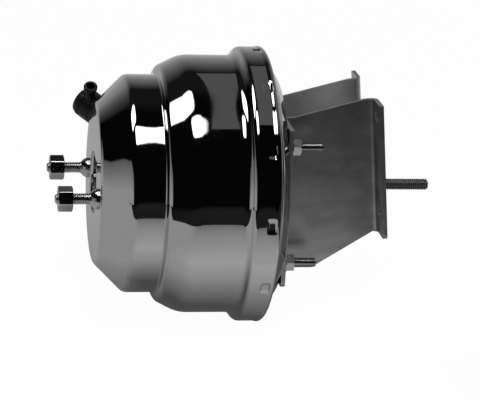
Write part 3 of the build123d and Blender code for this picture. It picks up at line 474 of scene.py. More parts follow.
NOISE_MIDDLE = (0.3, 0.7)      # where nearly all values of a noise lie
FALLING = (1.0, 0.0)
BUMP_DEPTH = 0.0003
CHROME_TONES = ((0.60, 0.60, 0.61), (0.66, 0.66, 0.67))
CHROME_ROUGH = (0.028, 0.055)
INNER_PRODUCT = (-0.02, -0.005)      # of a face's place and normal across the object
WORN_COSINES = (0.80, 0.995)         # between an edge's rounded normal and the face's own
WORN_PATCHES = (0.25, 1.0)
WORN_NOISE = (0.35, 0.6)
METAL_TONES = (0.82, 1.15)           # of a metal's own colour, where it is darkest and lightest
STAIN_TONE = 0.6
STAIN_SHARES = (0.0, 0.35)
STAIN_NOISE = (0.45, 0.75)
SOFT_TONES = (0.75, 1.35)
MIX_SOCKETS = (0, 6, 7)        # factor and the two colours of a node that mixes colours
MIXED_COLOUR = 2
WHITE = (1.0, 1.0, 1.0)


def grey(level):
    return (level, level, level)


def shade(colour, factor):
    return tuple(min(1.0, c * factor) for c in colour)


class Nodes:
    """A short way to add the nodes of a material or of the world."""

    def __init__(self, owner, output):
        owner.use_nodes = True
        self.owner = owner
        self.tree = owner.node_tree
        self.tree.nodes.clear()
        self.surface = self.add(output).inputs["Surface"]
        self.coordinates = self.add("ShaderNodeTexCoord").outputs

    def feed(self, socket, value):
        """Sets an input to a plain value, or links it to another node's output."""
        if isinstance(value, bpy.types.NodeSocket):
            self.tree.links.new(value, socket)
        elif socket.type == "RGBA":
            socket.default_value = (*value, 1)
        else:
            socket.default_value = value

    def feed_all(self, node, values):
        for name, value in values.items():
            self.feed(node.inputs[name], value)

    def add(self, kind, *values, **settings):
        """Adds a node with these settings, and feeds these values to its first inputs."""
        node = self.tree.nodes.new(kind)
        for key, value in settings.items():
            setattr(node, key, value)
        for socket, value in zip(node.inputs, values):
            self.feed(socket, value)
        return node

    def maths(self, operation, *values):
        return self.add("ShaderNodeMath", *values, operation=operation).outputs["Value"]

    def axes(self, vector):
        """The X, Y and Z of a vector."""
        return self.add("ShaderNodeSeparateXYZ", vector).outputs

    def noise(self, scale, detail=3.0, stretch=(1, 1, 1)):
        mapping = self.add("ShaderNodeMapping", self.coordinates["Object"])
        self.feed(mapping.inputs["Scale"], stretch)
        noise = self.add("ShaderNodeTexNoise", mapping.outputs["Vector"])
        self.feed_all(noise, {"Scale": scale, "Detail": detail})
        return noise.outputs["Fac"]

    def spread(self, value, target=(0.0, 1.0), source=NOISE_MIDDLE):
        """Spreads one range of a value over another, and stays level beyond both ends."""
        return self.add("ShaderNodeMapRange", value, *source, *target).outputs["Result"]

    def mix(self, share, a, b):
        node = self.add("ShaderNodeMix", data_type="RGBA")
        for index, value in zip(MIX_SOCKETS, (share, a, b)):
            self.feed(node.inputs[index], value)
        return node.outputs[MIXED_COLOUR]

    def bump(self, height, strength, distance, normal=None):
        node = self.add("ShaderNodeBump")
        self.feed_all(node, {"Height": height, "Strength": strength, "Distance": distance})
        if normal:
            self.feed(node.inputs["Normal"], normal)
        return node.outputs["Normal"]

    def emission(self, colour=WHITE, strength=1.0):
        return self.add("ShaderNodeEmission", colour, strength).outputs["Emission"]

    def background(self, colour=WHITE, strength=1.0):
        return self.add("ShaderNodeBackground", colour, strength).outputs["Background"]

    def for_rays(self, kind, shader, otherwise, share=1.0):
        """This share of one shader for rays of one kind, and the other shader for all else."""
        factor = self.add("ShaderNodeLightPath").outputs[kind]
        if share < 1.0:
            factor = self.maths("MULTIPLY", factor, share)
        return self.add("ShaderNodeMixShader", factor, otherwise, shader).outputs["Shader"]

    def principled(self, metallic, colour, rough, normal, sockets=None):
        bsdf = self.add("ShaderNodeBsdfPrincipled")
        self.feed_all(bsdf, {"Metallic": metallic, "Base Color": colour, "Roughness": rough})
        self.feed_all(bsdf, {"Normal": normal, **(sockets or {})})
        self.feed(self.surface, bsdf.outputs["BSDF"])
        return self.owner


def material_nodes(name):
    return Nodes(bpy.data.materials.new(name), "ShaderNodeOutputMaterial")


def chrome(name):
    """Bright plate with a slow waviness and a fine grain."""
    m = material_nodes(name)
    colour = m.mix(m.spread(m.noise(scale=9.0)), *CHROME_TONES)
    rough = m.spread(m.noise(scale=60.0, detail=4.0), CHROME_ROUGH)
    wave = m.bump(m.noise(scale=22.0, detail=1.0), strength=0.03, distance=0.006)
    normal = m.bump(m.noise(scale=900.0, detail=2.0), strength=0.01, distance=0.0002, normal=wave)
    return m.principled(1.0, colour, rough, normal)


def inner_face_light_mask(m):
    """1 on faces that look towards the middle plane of the object, 0 on those that look away: where painted
    light goes on inner faces.
    """
    geometry = m.add("ShaderNodeNewGeometry").outputs
    place, normal = (m.axes(geometry[name])["Y"] for name in ("Position", "Normal"))
    return m.spread(m.maths("MULTIPLY", place, normal), FALLING, INNER_PRODUCT)


def worn_edge(m, radius):
    """Near 1 in patches along the edges, and 0 elsewhere."""
    rounded_normal = m.add("ShaderNodeBevel", radius, samples=4).outputs["Normal"]
    flat_normal = m.add("ShaderNodeNewGeometry").outputs["Normal"]
    dot = m.add("ShaderNodeVectorMath", rounded_normal, flat_normal, operation="DOT_PRODUCT")
    edge = m.spread(dot.outputs["Value"], FALLING, WORN_COSINES)
    patches = m.spread(m.noise(scale=380.0), WORN_PATCHES, WORN_NOISE)
    return m.maths("MULTIPLY", edge, patches)


def metal(name, colour, rough, grain, bump, stretch=(1, 1, 1), metallic=1.0, inside=None, wear=None):
    """Mottled, stained metal. inside is a lighter colour painted on inner faces as painted light, and wear
    is (colour, width).
    """
    m = material_nodes(name)
    dark, light = (shade(colour, factor) for factor in METAL_TONES)
    tone = m.mix(m.spread(m.noise(grain, 5.0, stretch)), dark, light)
    # Painted light: faces that look towards the middle get the lighter inside colour
    if inside:
        tone = m.mix(inner_face_light_mask(m), tone, inside)
    stain = m.spread(m.noise(scale=45.0, detail=4.0), STAIN_SHARES, STAIN_NOISE)
    tone = m.mix(stain, tone, shade(colour, STAIN_TONE))
    if wear:
        tone = m.mix(worn_edge(m, wear[1]), tone, wear[0])
    rough_here = m.spread(m.noise(grain * 1.7, 4.0, stretch), rough)
    normal = m.bump(m.noise(grain * 4, 4.0, stretch), bump, BUMP_DEPTH)
    return m.principled(metallic, tone, rough_here, normal)


def soft_stuff(name, colour, rough, grain, bump, depth=BUMP_DEPTH, sockets=None):
    """Plastic, rubber or felt."""
    m = material_nodes(name)
    dark, light = (shade(colour, factor) for factor in SOFT_TONES)
    tone = m.mix(m.spread(m.noise(scale=120.0, detail=4.0)), dark, light)
    rough_here = m.spread(m.noise(grain / 3, 4.0), rough)
    normal = m.bump(m.noise(grain, 4.0), bump, depth)
    return m.principled(0.0, tone, rough_here, normal, sockets)


METALS = {
    "zinc_steel": dict(colour=(0.55, 0.53, 0.45), rough=(0.30, 0.45), grain=160.0, bump=0.12),
    "zinc_hardware": dict(colour=(0.62, 0.62, 0.64), rough=(0.11, 0.18), grain=60.0, bump=0.004,
                          wear=((0.85, 0.85, 0.86), 0.0003)),
    # bracket_steel's inside colour is painted light: it makes the brackets' inner faces lighter
    "bracket_steel": dict(colour=(0.43, 0.43, 0.435), rough=(0.28, 0.38), grain=40.0, bump=0.03,
                          stretch=(1, 1, 2), metallic=0.92, inside=(0.86, 0.86, 0.865),
                          wear=((0.95, 0.95, 0.96), 0.0008)),
    "rod_steel": dict(colour=(0.26, 0.26, 0.265), rough=(0.24, 0.34), grain=120.0, bump=0.01,
                      metallic=0.85, wear=((0.5, 0.5, 0.5), 0.0002)),
    "spring_steel": dict(colour=(0.30, 0.30, 0.31), rough=(0.28, 0.4), grain=300.0, bump=0.1),
}
SOFT_STUFFS = {
    "hub_plastic": dict(colour=(0.045, 0.045, 0.05), rough=(0.45, 0.62), grain=900.0, bump=0.25),
    "valve_plastic": dict(colour=(0.006, 0.006, 0.007), rough=(0.30, 0.44), grain=1100.0, bump=0.08,
                          sockets={"Specular IOR Level": 0.3}),
    "black_rubber": dict(colour=(0.016, 0.016, 0.017), rough=(0.50, 0.68), grain=1400.0, bump=0.30),
    "felt": dict(colour=(0.22, 0.22, 0.21), rough=(0.85, 0.98), grain=1600.0, bump=0.9,
                 depth=0.0006, sockets={"Sheen Weight": 0.5}),
}
materials = {"chrome_shell": chrome("chrome_shell")}
materials.update({name: metal(name, **values) for name, values in METALS.items()})
materials.update({name: soft_stuff(name, **values) for name, values in SOFT_STUFFS.items()})


# Pieces

def new_object(name, part, material, sharp, transform):
    mesh = bpy.data.meshes.new(name)
    verts, faces = part
    mesh.from_pydata([transform @ Vector(v) for v in verts], [], faces)
    mesh.validate()
    mesh.shade_smooth()
    mesh.set_sharp_from_angle(angle=math.radians(sharp))
    obj = bpy.data.objects.new(name, mesh)
    bpy.context.scene.collection.objects.link(obj)
    mesh.materials.append(material)
    return obj


def piece(name, part, slot, body, replaced, sharp=50, transform=to_row):
    """A rigid piece that stands for a CAD node and rides on its body. Edges from sharp degrees on stay
    sharp."""
    obj = new_object(name, part, materials[slot], sharp, transform)
    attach(obj, body)
    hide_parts(replaced)
    return obj


def dimpled_angles():
    """Angles round the rim, closer together at each dimple."""
    step = 2 * math.pi / DIMPLE_COUNT
    width = DIMPLE_FINE_REACH * DIMPLE_WIDTH / RIM_R
    gap = step - width
    angles = []
    for index in range(DIMPLE_COUNT):
        first = index * step - width / 2
        angles += [first + width * k / DIMPLE_FINE for k in range(DIMPLE_FINE + 1)]
        angles += [first + width + gap * k / DIMPLE_COARSE for k in range(1, DIMPLE_COARSE)]
    return angles


def dimple_push(x, r, angle):
    """The radius of the rim's outside, lower where a dimple is."""
    off_x = (x - dimple_x) / (DIMPLE_LENGTH / 2)
    if r < RIM_R - OUTSIDE_DEPTH or abs(off_x) > DIMPLE_PUSH_REACH:
        return r
    step = 2 * math.pi / DIMPLE_COUNT
    off_angle = (angle + step / 2) % step - step / 2
    off_side = off_angle * RIM_R / (DIMPLE_WIDTH / 2)
    reach = (abs(off_x) ** DIMPLE_SQUARENESS + abs(off_side) ** DIMPLE_SQUARENESS) ** (1 / DIMPLE_SQUARENESS)
    share = clamped((DIMPLE_END - reach) / (DIMPLE_END - DIMPLE_FLOOR))
    share *= share * (3 - 2 * share)
    floor_r = (RIM_R - DIMPLE_DEPTH) / math.cos(off_angle)
    return r + (floor_r - r) * share


def front_loop():
    """The front shell's outline, with points close together where the dimples are."""
    pilot_x = face_x + PILOT_DEPTH
    flare_r = RIM_R + RIM_FLARE
    outline = [(pilot_x, PILOT_HOLE_R), (pilot_x, PILOT_R), (face_x, PILOT_R), (face_x, face_r),
               (cone_back_x, FRONT_DRUM_R), (step_x, FRONT_DRUM_R), (shoulder_x, SHOULDER_R),
               (shoulder_back_x, REAR_DRUM_R), (rear_drum_back_x, REAR_DRUM_R), (rim_step_x, RIM_R),
               (RIM_EDGE_X - RIM_FLARE_LENGTH, RIM_R), (RIM_EDGE_X, flare_r),
               (RIM_EDGE_X, flare_r - RIM_LIP)]
    loop = sheet_loop(outline, FRONT_BENDS, FRONT_SHEET, FRONT_BEND_STEPS)
    rows_reach = DIMPLE_ROWS_REACH * DIMPLE_LENGTH / 2
    out = []
    for point, after in zip(loop, loop[1:] + loop[:1]):
        out.append(point)
        if min(point.y, after.y) < RIM_R - ROUNDING:
            continue
        parts = math.ceil((after - point).length / DIMPLE_ROW)
        between = [point.lerp(after, part / parts) for part in range(1, parts)]
        out += [place for place in between if abs(place.x - dimple_x) < rows_reach]
    return denser(out)


def front_shell():
    shell = revolved(front_loop(), dimpled_angles(), dimple_push)
    piece("shell_front", shell, "chrome_shell", "housing", "front_shell")


def rear_shell():
    flange_x = dimple_x - DIMPLE_LENGTH / 2
    flange_r = RIM_R - FRONT_SHEET - GAP
    wall_r = flange_r - REAR_FLANGE_WIDTH
    outline = [(flange_x, flange_r), (flange_x, wall_r),
               (flange_x + REAR_WALL_LENGTH, wall_r - REAR_WALL_DRAFT),
               (REAR_FACE_X, wall_r - REAR_WALL_SLANT), (REAR_FACE_X, NECK_R + NECK_FLARE),
               (REAR_FACE_X + NECK_FLARE, NECK_R), (neck_end_x, NECK_R)]
    loop = denser(sheet_loop(outline, REAR_BENDS, REAR_SHEET))
    piece("shell_rear", revolved(loop, even_angles(SHELL_SIDES)), "chrome_shell", "housing", "rear_shell")


def nose_studs():
    tip_x = face_x - NOSE_STUD_REACH
    nut_back_x = tip_x + NOSE_NUT_FROM_TIP + NOSE_NUT_HEIGHT
    collar_x = face_x - NOSE_COLLAR_HEIGHT
    head_x = backing_back_x + SEAT
    head_back_x = backing_back_x + NOSE_HEAD_HEIGHT
    profile = [(tip_x, 0), (tip_x, NOSE_THREAD_R - STUD_CHAMFER), (tip_x + STUD_CHAMFER, NOSE_THREAD_R),
               (nut_back_x + GAP, NOSE_THREAD_R), (nut_back_x + 2 * GAP, NOSE_STUD_R),
               (collar_x - NOSE_COLLAR_TAPER, NOSE_STUD_R), (collar_x, NOSE_COLLAR_R - NOSE_COLLAR_LIP),
               (face_x - NOSE_COLLAR_LIP, NOSE_COLLAR_R), (face_x - SEAT, NOSE_COLLAR_R),
               (face_x - SEAT, NOSE_STUD_R), (head_x, NOSE_STUD_R), (head_x, NOSE_HEAD_R),
               (head_back_x, NOSE_HEAD_R), (head_back_x, 0)]
    bar = threaded_bar(profile, tip_x, collar_x - NOSE_COLLAR_TAPER, NOSE_PITCH)
    places = [(side * NOSE_STUD_Y, 0) for side in (-1, 1)]
    piece("nose_studs", copies(bar, places), "zinc_hardware", "housing", "master_cylinder_studs", sharp=22)


def nose_nuts():
    x = face_x - NOSE_STUD_REACH + NOSE_NUT_FROM_TIP
    nuts = []
    for side, turn in zip((-1, 1), NOSE_NUT_TURNS):
        nut = hex_nut(x, NOSE_NUT_HEIGHT, NOSE_NUT_FLATS, NOSE_THREAD_R, math.radians(turn))
        nuts.append(moved(nut, Matrix.Translation((0, side * NOSE_STUD_Y, 0))))
    piece("nose_nuts", joined(nuts), "zinc_hardware", "housing", "master_cylinder_nuts", sharp=30)


def bracket_studs():
    head_x = REAR_FACE_X - REAR_SHEET - SEAT
    head_front_x = head_x - REAR_HEAD_HEIGHT
    tip_x = REAR_FACE_X + REAR_STUD_REACH
    profile = [(head_front_x, 0), (head_front_x, REAR_HEAD_R - REAR_HEAD_CHAMFER),
               (head_front_x + REAR_HEAD_CHAMFER, REAR_HEAD_R), (head_x, REAR_HEAD_R), (head_x, REAR_STUD_R),
               (REAR_FACE_X, REAR_STUD_R), (tip_x - STUD_CHAMFER, REAR_STUD_R),
               (tip_x, REAR_STUD_R - STUD_CHAMFER), (tip_x, 0)]
    bar = threaded_bar(profile, REAR_FACE_X, tip_x, REAR_PITCH, REAR_STUD_SIDES)
    places = [(y * REAR_STUD_Y, z * REAR_STUD_Z) for y in (-1, 1) for z in (-1, 1)]
    piece("bracket_studs", copies(bar, places), "zinc_hardware", "housing", "rear_studs")


def pedal_rod():
    """The input rod: ball, neck, shank with a shoulder for its spring, and a long thread."""
    angles = [math.pi * k / BALL_STEPS for k in range(BALL_POINTS)]
    ball = [(-BALL_R * math.cos(angle), BALL_R * math.sin(angle)) for angle in angles]
    shoulder_end_x = ROD_SHOULDER_X + ROD_SHOULDER_LENGTH
    shoulder_edge_r = ROD_SHOULDER_R - ROD_SHOULDER_CHAMFER
    shank = [(ROD_NECK[0], ROD_NECK_R), (ROD_NECK[1], ROD_NECK_R), (ROD_SHANK_X, ROD_SHANK_R),
             (ROD_SHOULDER_X, ROD_SHANK_R), (ROD_SHOULDER_X, shoulder_edge_r),
             (ROD_SHOULDER_X + ROD_SHOULDER_CHAMFER, ROD_SHOULDER_R),
             (shoulder_end_x - ROD_SHOULDER_CHAMFER, ROD_SHOULDER_R),
             (shoulder_end_x, shoulder_edge_r), (shoulder_end_x, ROD_SHANK_R),
             (ROD_THREAD_X - ROD_THREAD_START, ROD_SHANK_R), (ROD_THREAD_X, ROD_R),
             (ROD_TIP_X - ROD_CHAMFER, ROD_R), (ROD_TIP_X, ROD_R - ROD_CHAMFER), (ROD_TIP_X, 0)]
    rod = threaded_bar(ball + shank, ROD_THREAD_X, ROD_TIP_X, ROD_PITCH)
    piece("pedal_rod", rod, "rod_steel", "input_rod", "input_pushrod")


def return_spring():
    """The piston's spring, which in the booster closes up with the stroke; here it is a fixed coil."""
    x0 = backing_back_x + SEAT
    x1 = PISTON_PLATE_X - SEAT
    part = coil(x0, x1, SPRING_COIL_R, SPRING_WIRE_R, SPRING_TURNS)
    spring = piece("main_spring", part, "spring_steel", "housing", "return_spring", sharp=40)
    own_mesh(spring)


def dust_boot():
    """A bellows, which in the booster closes up with the stroke, and a collar that stays on the neck; both
    are fixed shapes here.
    """
    inner_r = NECK_R + GAP
    fold_x = neck_end_x + BOOT_FIRST_FOLD
    fold_length = (BOOT_END_X - BOOT_LAST_FOLD - fold_x) / BOOT_FOLDS
    outline = [(neck_end_x + BELLOWS_START, inner_r), (fold_x, inner_r)]
    for fold in range(BOOT_FOLDS):
        outline.append((fold_x + (fold + BOOT_ROOT_AT) * fold_length, BOOT_ROOT_R))
        outline.append((fold_x + (fold + BOOT_CREST_AT) * fold_length, BOOT_CREST_R - BOOT_WALL))
    outline += [(BOOT_END_X - BOOT_CONE_LENGTH, BOOT_ROOT_R), (BOOT_END_X, BOOT_END_R)]
    wall = sheet_loop(outline, [BOOT_FOLD_BEND] * (len(outline) - 2), -BOOT_WALL)
    bead_x = (BOOT_END_X - BOOT_BEAD_LENGTH / 2, BOOT_END_X + BOOT_BEAD_LENGTH / 2)
    bead_r = BOOT_END_R + BOOT_BEAD_HEIGHT
    mouth = rounded([(bead_x[0], BOOT_END_R), (bead_x[0], bead_r), (bead_x[1], bead_r),
                     (bead_x[1], BOOT_END_R)], [BOOT_BEAD_BEND] * 2)
    around = even_angles(ROUND_SIDES)
    bellows = piece("boot_bellows", joined([revolved(wall, around), revolved(mouth, around)]),
                    "black_rubber", "housing", "dust_boot", sharp=60)
    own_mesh(bellows)

    start_x = neck_end_x - BOOT_COLLAR_LENGTH
    end_x = neck_end_x + COLLAR_END
    ridge_x = start_x + BOOT_BEAD_LENGTH
    outer_r = inner_r + BOOT_WALL
    ridge_r = outer_r + BOOT_WALL
    collar = rounded([(end_x, inner_r), (start_x, inner_r), (start_x, ridge_r), (ridge_x, ridge_r),
                      (ridge_x, outer_r), (end_x, outer_r)], BOOT_COLLAR_BENDS)
    piece("boot_collar", revolved(collar, around), "black_rubber", "housing", "dust_boot")


def valve_frame():
    """From the check valve's frame, with Z along its stem and X along its nipple, to the row's."""
    along = VALVE_ALONG_CONE * NOSE_DEPTH
    radial = Vector((0, math.sin(VALVE_ANGLE), math.cos(VALVE_ANGLE)))
    stem = (radial - Vector((1, 0, 0))).normalized()
    nipple = (NIPPLE_LEAN - stem * NIPPLE_LEAN.dot(stem)).normalized()
    own = Matrix((nipple, stem.cross(nipple), stem)).transposed().to_4x4()
    own.translation = Vector((face_x + along, 0, 0)) + radial * (face_r + along)
    return to_row @ own


def upright(line, closed=True):
    """An outline of (height, radius) turned round the check valve's stem."""
    swap_x_and_z = Matrix(((0, 0, 1, 0), (0, 1, 0, 0), (1, 0, 0, 0), (0, 0, 0, 1)))
    return moved(revolved(line, even_angles(ROUND_SIDES), closed=closed), swap_x_and_z)


def valve_grommet():
    hole_r = STEM_R + SEAT
    neck_r = GROMMET_NECK_R
    lip_top = -FRONT_SHEET - GROMMET_LIP_GAP
    lip_foot = lip_top - GROMMET_LIP_HEIGHT
    outline = [(-GROMMET_NECK_DEPTH, hole_r), (-GROMMET_NECK_DEPTH, neck_r), (lip_foot, neck_r),
               (lip_foot, neck_r + GROMMET_LIP), (lip_top, neck_r + GROMMET_LIP), (lip_top, neck_r - SEAT),
               (-GROMMET_SINK, neck_r - SEAT), (GROMMET_RISE, GROMMET_R), (GROMMET_THICKNESS, GROMMET_R),
               (GROMMET_THICKNESS, hole_r)]
    piece("valve_grommet", upright(rounded(outline, GROMMET_BENDS)), "black_rubber", "housing",
          "check_valve_grommet", transform=valve_to_row)


def valve_body():
    """Drum, stem and nipple in one moulding. A groove round the drum shows where the cap is welded."""
    foot = GROMMET_THICKNESS + SEAT
    stem_foot = foot - STEM_DEPTH
    groove = foot + DRUM_GROOVE_Z
    groove_top = groove + DRUM_GROOVE_WIDTH
    groove_r = DRUM_R - DRUM_GROOVE_DEPTH
    outline = [(stem_foot, 0), (stem_foot, STEM_R - STEM_CHAMFER), (stem_foot + STEM_CHAMFER, STEM_R),
               (foot, STEM_R), (foot, DRUM_R), (groove, DRUM_R), (groove, groove_r), (groove_top, groove_r),
               (groove_top, DRUM_R), (foot + DRUM_HEIGHT, DRUM_R), (foot + DRUM_HEIGHT, 0)]
    drum = upright(rounded(outline, DRUM_BENDS), closed=False)
    barb_x = NIPPLE_REACH - BARB_LAND
    end_x = NIPPLE_REACH - BARB_CHAMFER
    outline = [(NIPPLE_START, NIPPLE_BORE_R), (NIPPLE_START, NIPPLE_ROOT_R), (DRUM_R, NIPPLE_ROOT_R),
               (DRUM_R + NIPPLE_ROOT_TAPER, NIPPLE_R), (barb_x - BARB_TAPER, NIPPLE_R), (barb_x, BARB_R),
               (end_x, BARB_R), (NIPPLE_REACH, BARB_R - BARB_CHAMFER), (NIPPLE_REACH, NIPPLE_BORE_R)]
    nipple = revolved(rounded(outline, NIPPLE_BENDS), even_angles(NIPPLE_SIDES))
    nipple = moved(nipple, Matrix.Translation((0, 0, foot + NIPPLE_HEIGHT)))
    piece("valve_body_moulding", joined([drum, nipple]), "valve_plastic", "check_valve",
          "check_valve_body", sharp=40, transform=valve_to_row)


def valve_cap():
    foot = GROMMET_THICKNESS + SEAT + DRUM_HEIGHT + SEAT
    top = foot + CAP_HEIGHT
    outline = rounded([(foot, 0), (foot, DRUM_R), (top, CAP_TOP_R), (top, 0)], CAP_BENDS)
    piece("valve_cap_moulding", upright(outline, closed=False), "valve_plastic", "check_valve",
          "check_valve_cap", sharp=40, transform=valve_to_row)


def dress_cad_pieces():
    """Gives each CAD piece its material, and the brackets a small bevel along their edges."""
    for part in frame["record"]["subparts"]:
        for slot in nodes[part["node"]].material_slots:
            slot.material = materials[part["material_slot"]]
    for name in ("right_bracket", "left_bracket"):
        bevel = nodes[name].modifiers.new("edge", "BEVEL")
        bevel.width = BRACKET_EDGE
        bevel.segments = 2
        bevel.limit_method = "ANGLE"
        bevel.angle_limit = BRACKET_EDGE_ANGLE


valve_to_row = valve_frame()
dress_cad_pieces()
front_shell()
rear_shell()
nose_studs()
nose_nuts()
bracket_studs()
pedal_rod()
return_spring()
dust_boot()
valve_grommet()
valve_body()
valve_cap()

# Stage, in metres

FLOOR_Z = cad_box[0][2]
FLOOR_REACH = 5.0          # of every sheet to the right, and of the paper to the left
PAPER_BACK_Y = 6.0
SWEEP_FRONT_Y = -0.42      # the pale paper ends here, and the floor beyond it is dark: a near-black sheet, painted shade that the metal mirrors as the unlit room
DARK_FLOOR_X = -2.20       # and the dark floor ends here on the left, where the wall starts
DARK_FLOOR_Y = -8.0
CORNER_X = 0.02            # a darker sheet, painted shade that the metal mirrors, lies on the paper from here to the right
CORNER_BACK_Y = -0.14
CORNER_LIFT = 0.0004
PAPER_GREY = 0.8
DARK_GREY = 0.02
CORNER_GREY = 0.04
SHARE_OF_WHITE = 0.98      # how much of the floor that the camera sees is plain white

# Painted light and painted shadow: how bright the paper glows in the metal, at these distances behind the
# row's origin, dimmest where the object's shadow is painted
PAPER_PAINTED_GLOW = [(-0.42, 0.20), (-0.35, 0.28), (-0.208, 0.43), (-0.155, 0.50), (-0.115, 0.40), (-0.075, 0.21),
              (-0.045, 0.09), (0.06, 0.09), (0.30, 0.32), (0.60, 0.60)]
SIDE_GLOW = 0.385          # and the painted glow of the paper to the left of the object
SIDE_X = (-0.31, -0.20)    # where the one turns into the other

# What mirrored rays see beyond the floor and the cards, at these parts of their direction
FILL_LEVEL = 0.12          # for rays that no metal mirrors
ROOM_LEVEL = 0.002
BACKDROP_X = (-0.66, -0.38)
BACKDROP_Y = (0.05, 0.35)
BACKDROP_Z = (0.0, 0.71)
BACKDROP_LEVELS = (0.44, 0.010)
WALL_X = (-0.86, -0.78)
WALL_Z = (0.05, 0.35)
WALL_LEVELS = (0.38, 0.13)
WALL_TOP_Z = (0.345, 0.365)

# Cards over the object, whose corners and heights are in the booster's own frame
STRIP = ((-0.50, -0.74), (0.095, -0.25))
OVERHEAD = ((-1.30, -0.20), (-0.20, 0.37))
CEILING = [(0.13, -0.575), (1.4, -0.575), (1.4, 0.95), (0.115, 0.95)]
SOFT_CARD_LEVEL = 3.6
CARD_CORNER_POWER = 4.0    # what rounds the corners of a soft card
CARD_FADE = (0.45, 1.0)    # from where to where it fades
CEILING_LEVEL = 0.11
STRIP_HEIGHT = 1.1
CARD_HEIGHT = 1.2

# The lamp, which points at the row's origin
KEY_PLACE = (-0.1, -1.3, 1.5)
KEY_SIZE = 0.5
KEY_ENERGY = 24.0


def rectangle(low, high):
    return [(low[0], low[1]), (high[0], low[1]), (high[0], high[1]), (low[0], high[1])]


def flat_sheet(name, corners, material):
    mesh = bpy.data.meshes.new(name)
    mesh.from_pydata(corners, [], [(0, 1, 2, 3)])
    mesh.materials.append(material)
    obj = bpy.data.objects.new(name, mesh)
    bpy.context.scene.collection.objects.link(obj)
    return obj


def glow_ramp(m, value, points):
    """A value that runs straight from each (at, level) to the next."""
    first, last = points[0][0], points[-1][0]
    ramp = m.add("ShaderNodeValToRGB", m.spread(value, source=(first, last)))
    stops = ramp.color_ramp.elements
    while len(stops) < len(points):
        stops.new(0.5)
    for stop, (at, level) in zip(stops, points):
        stop.position = (at - first) / (last - first)
        stop.color = (*grey(level), 1)
    return ramp.outputs["Color"]


def painted_paper_glow(m, surface):
    """Gives mirrored rays a glowing paper with painted light and painted shadow: it darkens towards and
    below the object, where the object's shadow falls.
    """
    x, y, _ = m.axes(m.coordinates["Object"])
    beside_object = m.spread(x, source=SIDE_X)
    colour = m.mix(beside_object, grey(SIDE_GLOW), glow_ramp(m, y, PAPER_PAINTED_GLOW))
    return m.for_rays("Is Glossy Ray", m.emission(colour), surface)


def floor_sheet(name, low, high, level, mirrored=None, lift=0.0):
    """A flat grey sheet, which the camera sees as nearly plain white."""
    m = material_nodes(name)
    surface = m.add("ShaderNodeBsdfDiffuse", grey(level)).outputs["BSDF"]
    if mirrored:
        surface = mirrored(m, surface)
    m.feed(m.surface, m.for_rays("Is Camera Ray", m.emission(), surface, SHARE_OF_WHITE))
    corners = [(x, y, FLOOR_Z + lift) for x, y in rectangle(low, high)]
    flat_sheet(name, corners, m.owner)


def soft_edged(m, radiance):
    """A glow that fades towards the rounded edge of a card."""
    x, y, _ = m.axes(m.coordinates["Generated"])
    reach = []
    for place in (x, y):
        off_centre = m.spread(place, (-1.0, 1.0), (0.0, 1.0))
        reach.append(m.maths("POWER", m.maths("ABSOLUTE", off_centre), CARD_CORNER_POWER))
    return m.spread(m.maths("ADD", *reach), (radiance, 0.0), CARD_FADE)


def card(name, corners, height, radiance, soft=True):
    """A card that only shows in what the metal mirrors."""
    m = material_nodes(name)
    strength = soft_edged(m, radiance) if soft else radiance
    m.feed(m.surface, m.emission(strength=strength))
    places = [to_row @ (Vector((x, y, height)) / MM) for x, y in corners]
    obj = flat_sheet(name, places, m.owner)
    obj.visible_camera = False
    obj.visible_diffuse = False
    obj.visible_shadow = False


def world():
    """White behind the object; for mirrored rays a dim room with a grey backdrop and a grey wall."""
    sky = bpy.data.worlds.new("studio")
    bpy.context.scene.world = sky
    m = Nodes(sky, "ShaderNodeOutputWorld")
    x, y, z = m.axes(m.coordinates["Generated"])
    behind = m.maths("MULTIPLY", m.spread(y, source=BACKDROP_Y), m.spread(x, source=BACKDROP_X))
    backdrop = m.maths("MULTIPLY", behind, m.spread(z, BACKDROP_LEVELS, BACKDROP_Z))
    below_top = m.spread(z, FALLING, WALL_TOP_Z)
    wall_level = m.maths("MULTIPLY", m.spread(z, WALL_LEVELS, WALL_Z), below_top)
    wall = m.maths("MULTIPLY", m.spread(x, FALLING, WALL_X), wall_level)
    level = m.maths("MAXIMUM", m.maths("MAXIMUM", backdrop, wall), ROOM_LEVEL)
    room = m.for_rays("Is Glossy Ray", m.background(strength=level), m.background(grey(FILL_LEVEL)))
    m.feed(m.surface, m.for_rays("Is Camera Ray", m.background(), room))


def key_lamp():
    """A lamp for what is rough, which no metal mirrors."""
    data = bpy.data.lights.new("key", "AREA")
    data.size = KEY_SIZE
    data.energy = KEY_ENERGY
    lamp = bpy.data.objects.new("key", data)
    bpy.context.scene.collection.objects.link(lamp)
    lamp.location = KEY_PLACE
    lamp.rotation_euler = (-Vector(KEY_PLACE)).to_track_quat("-Z", "Y").to_euler()
    lamp.visible_glossy = False
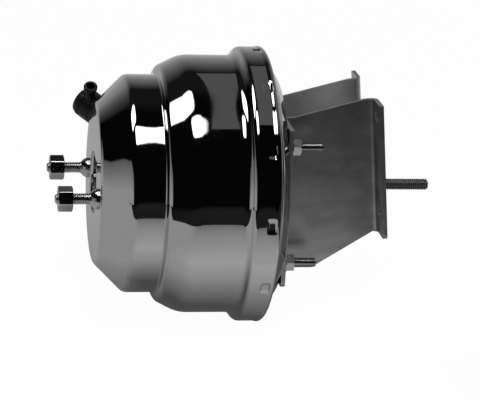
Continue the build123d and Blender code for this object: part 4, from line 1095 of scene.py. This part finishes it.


# The paper glows for mirrored rays with painted light and painted shadow
floor_sheet("paper", (-FLOOR_REACH, SWEEP_FRONT_Y), (FLOOR_REACH, PAPER_BACK_Y), PAPER_GREY, painted_paper_glow)
# Painted shade: a near-black sheet that the metal mirrors where the room is unlit
floor_sheet("dark_floor", (DARK_FLOOR_X, DARK_FLOOR_Y), (FLOOR_REACH, SWEEP_FRONT_Y), DARK_GREY)
# Painted shade: a darker sheet on the paper, which the metal mirrors as shade
floor_sheet("dark_corner", (CORNER_X, SWEEP_FRONT_Y), (FLOOR_REACH, CORNER_BACK_Y), CORNER_GREY,
            lift=CORNER_LIFT)
world()
card("strip", rectangle(*STRIP), STRIP_HEIGHT, SOFT_CARD_LEVEL)
card("overhead", rectangle(*OVERHEAD), CARD_HEIGHT, SOFT_CARD_LEVEL)
card("ceiling", CEILING, CARD_HEIGHT, CEILING_LEVEL, soft=False)
key_lamp()

# Camera, in millimetres, as fitted to the photo in the booster's own frame

THETA = math.radians(9.425)      # how far it looks to the right
PSI = math.radians(17.861)       # how far it looks down
ROLL = math.radians(0.174)
FOCAL_PX = 2267.05
DISTANCE = 1870.986
CENTRE_PX = (256.057, 183.535)   # where that frame's origin falls in the picture
FRAME_PX = (480, 400)
SENSOR_WIDTH = 36.0
CLIP_END = 50                    # in metres


def photo_camera():
    look = Vector((math.sin(THETA), math.cos(THETA) * math.cos(PSI), -math.cos(THETA) * math.sin(PSI)))
    level_right = look.cross(Vector((0, math.sin(PSI), math.cos(PSI)))).normalized()
    level_up = level_right.cross(look)
    right = level_right * math.cos(ROLL) + level_up * math.sin(ROLL)
    up = level_up * math.cos(ROLL) - level_right * math.sin(ROLL)
    off_right = (CENTRE_PX[0] - FRAME_PX[0] / 2) / FOCAL_PX * DISTANCE
    off_up = -(CENTRE_PX[1] - FRAME_PX[1] / 2) / FOCAL_PX * DISTANCE
    place = -look * DISTANCE - right * off_right - up * off_up
    data = bpy.data.cameras.new("camera")
    data.sensor_width = SENSOR_WIDTH
    data.lens = FOCAL_PX * SENSOR_WIDTH / FRAME_PX[0]
    data.clip_end = CLIP_END
    camera = bpy.data.objects.new("camera", data)
    bpy.context.scene.collection.objects.link(camera)
    turn = Matrix((right, up, -look)).transposed().to_4x4()
    camera.matrix_world = Matrix.Translation(to_row @ place) @ turn_to_row @ turn
    return camera


bpy.context.scene.camera = photo_camera()
bpy.context.scene.view_settings.view_transform = "Standard"
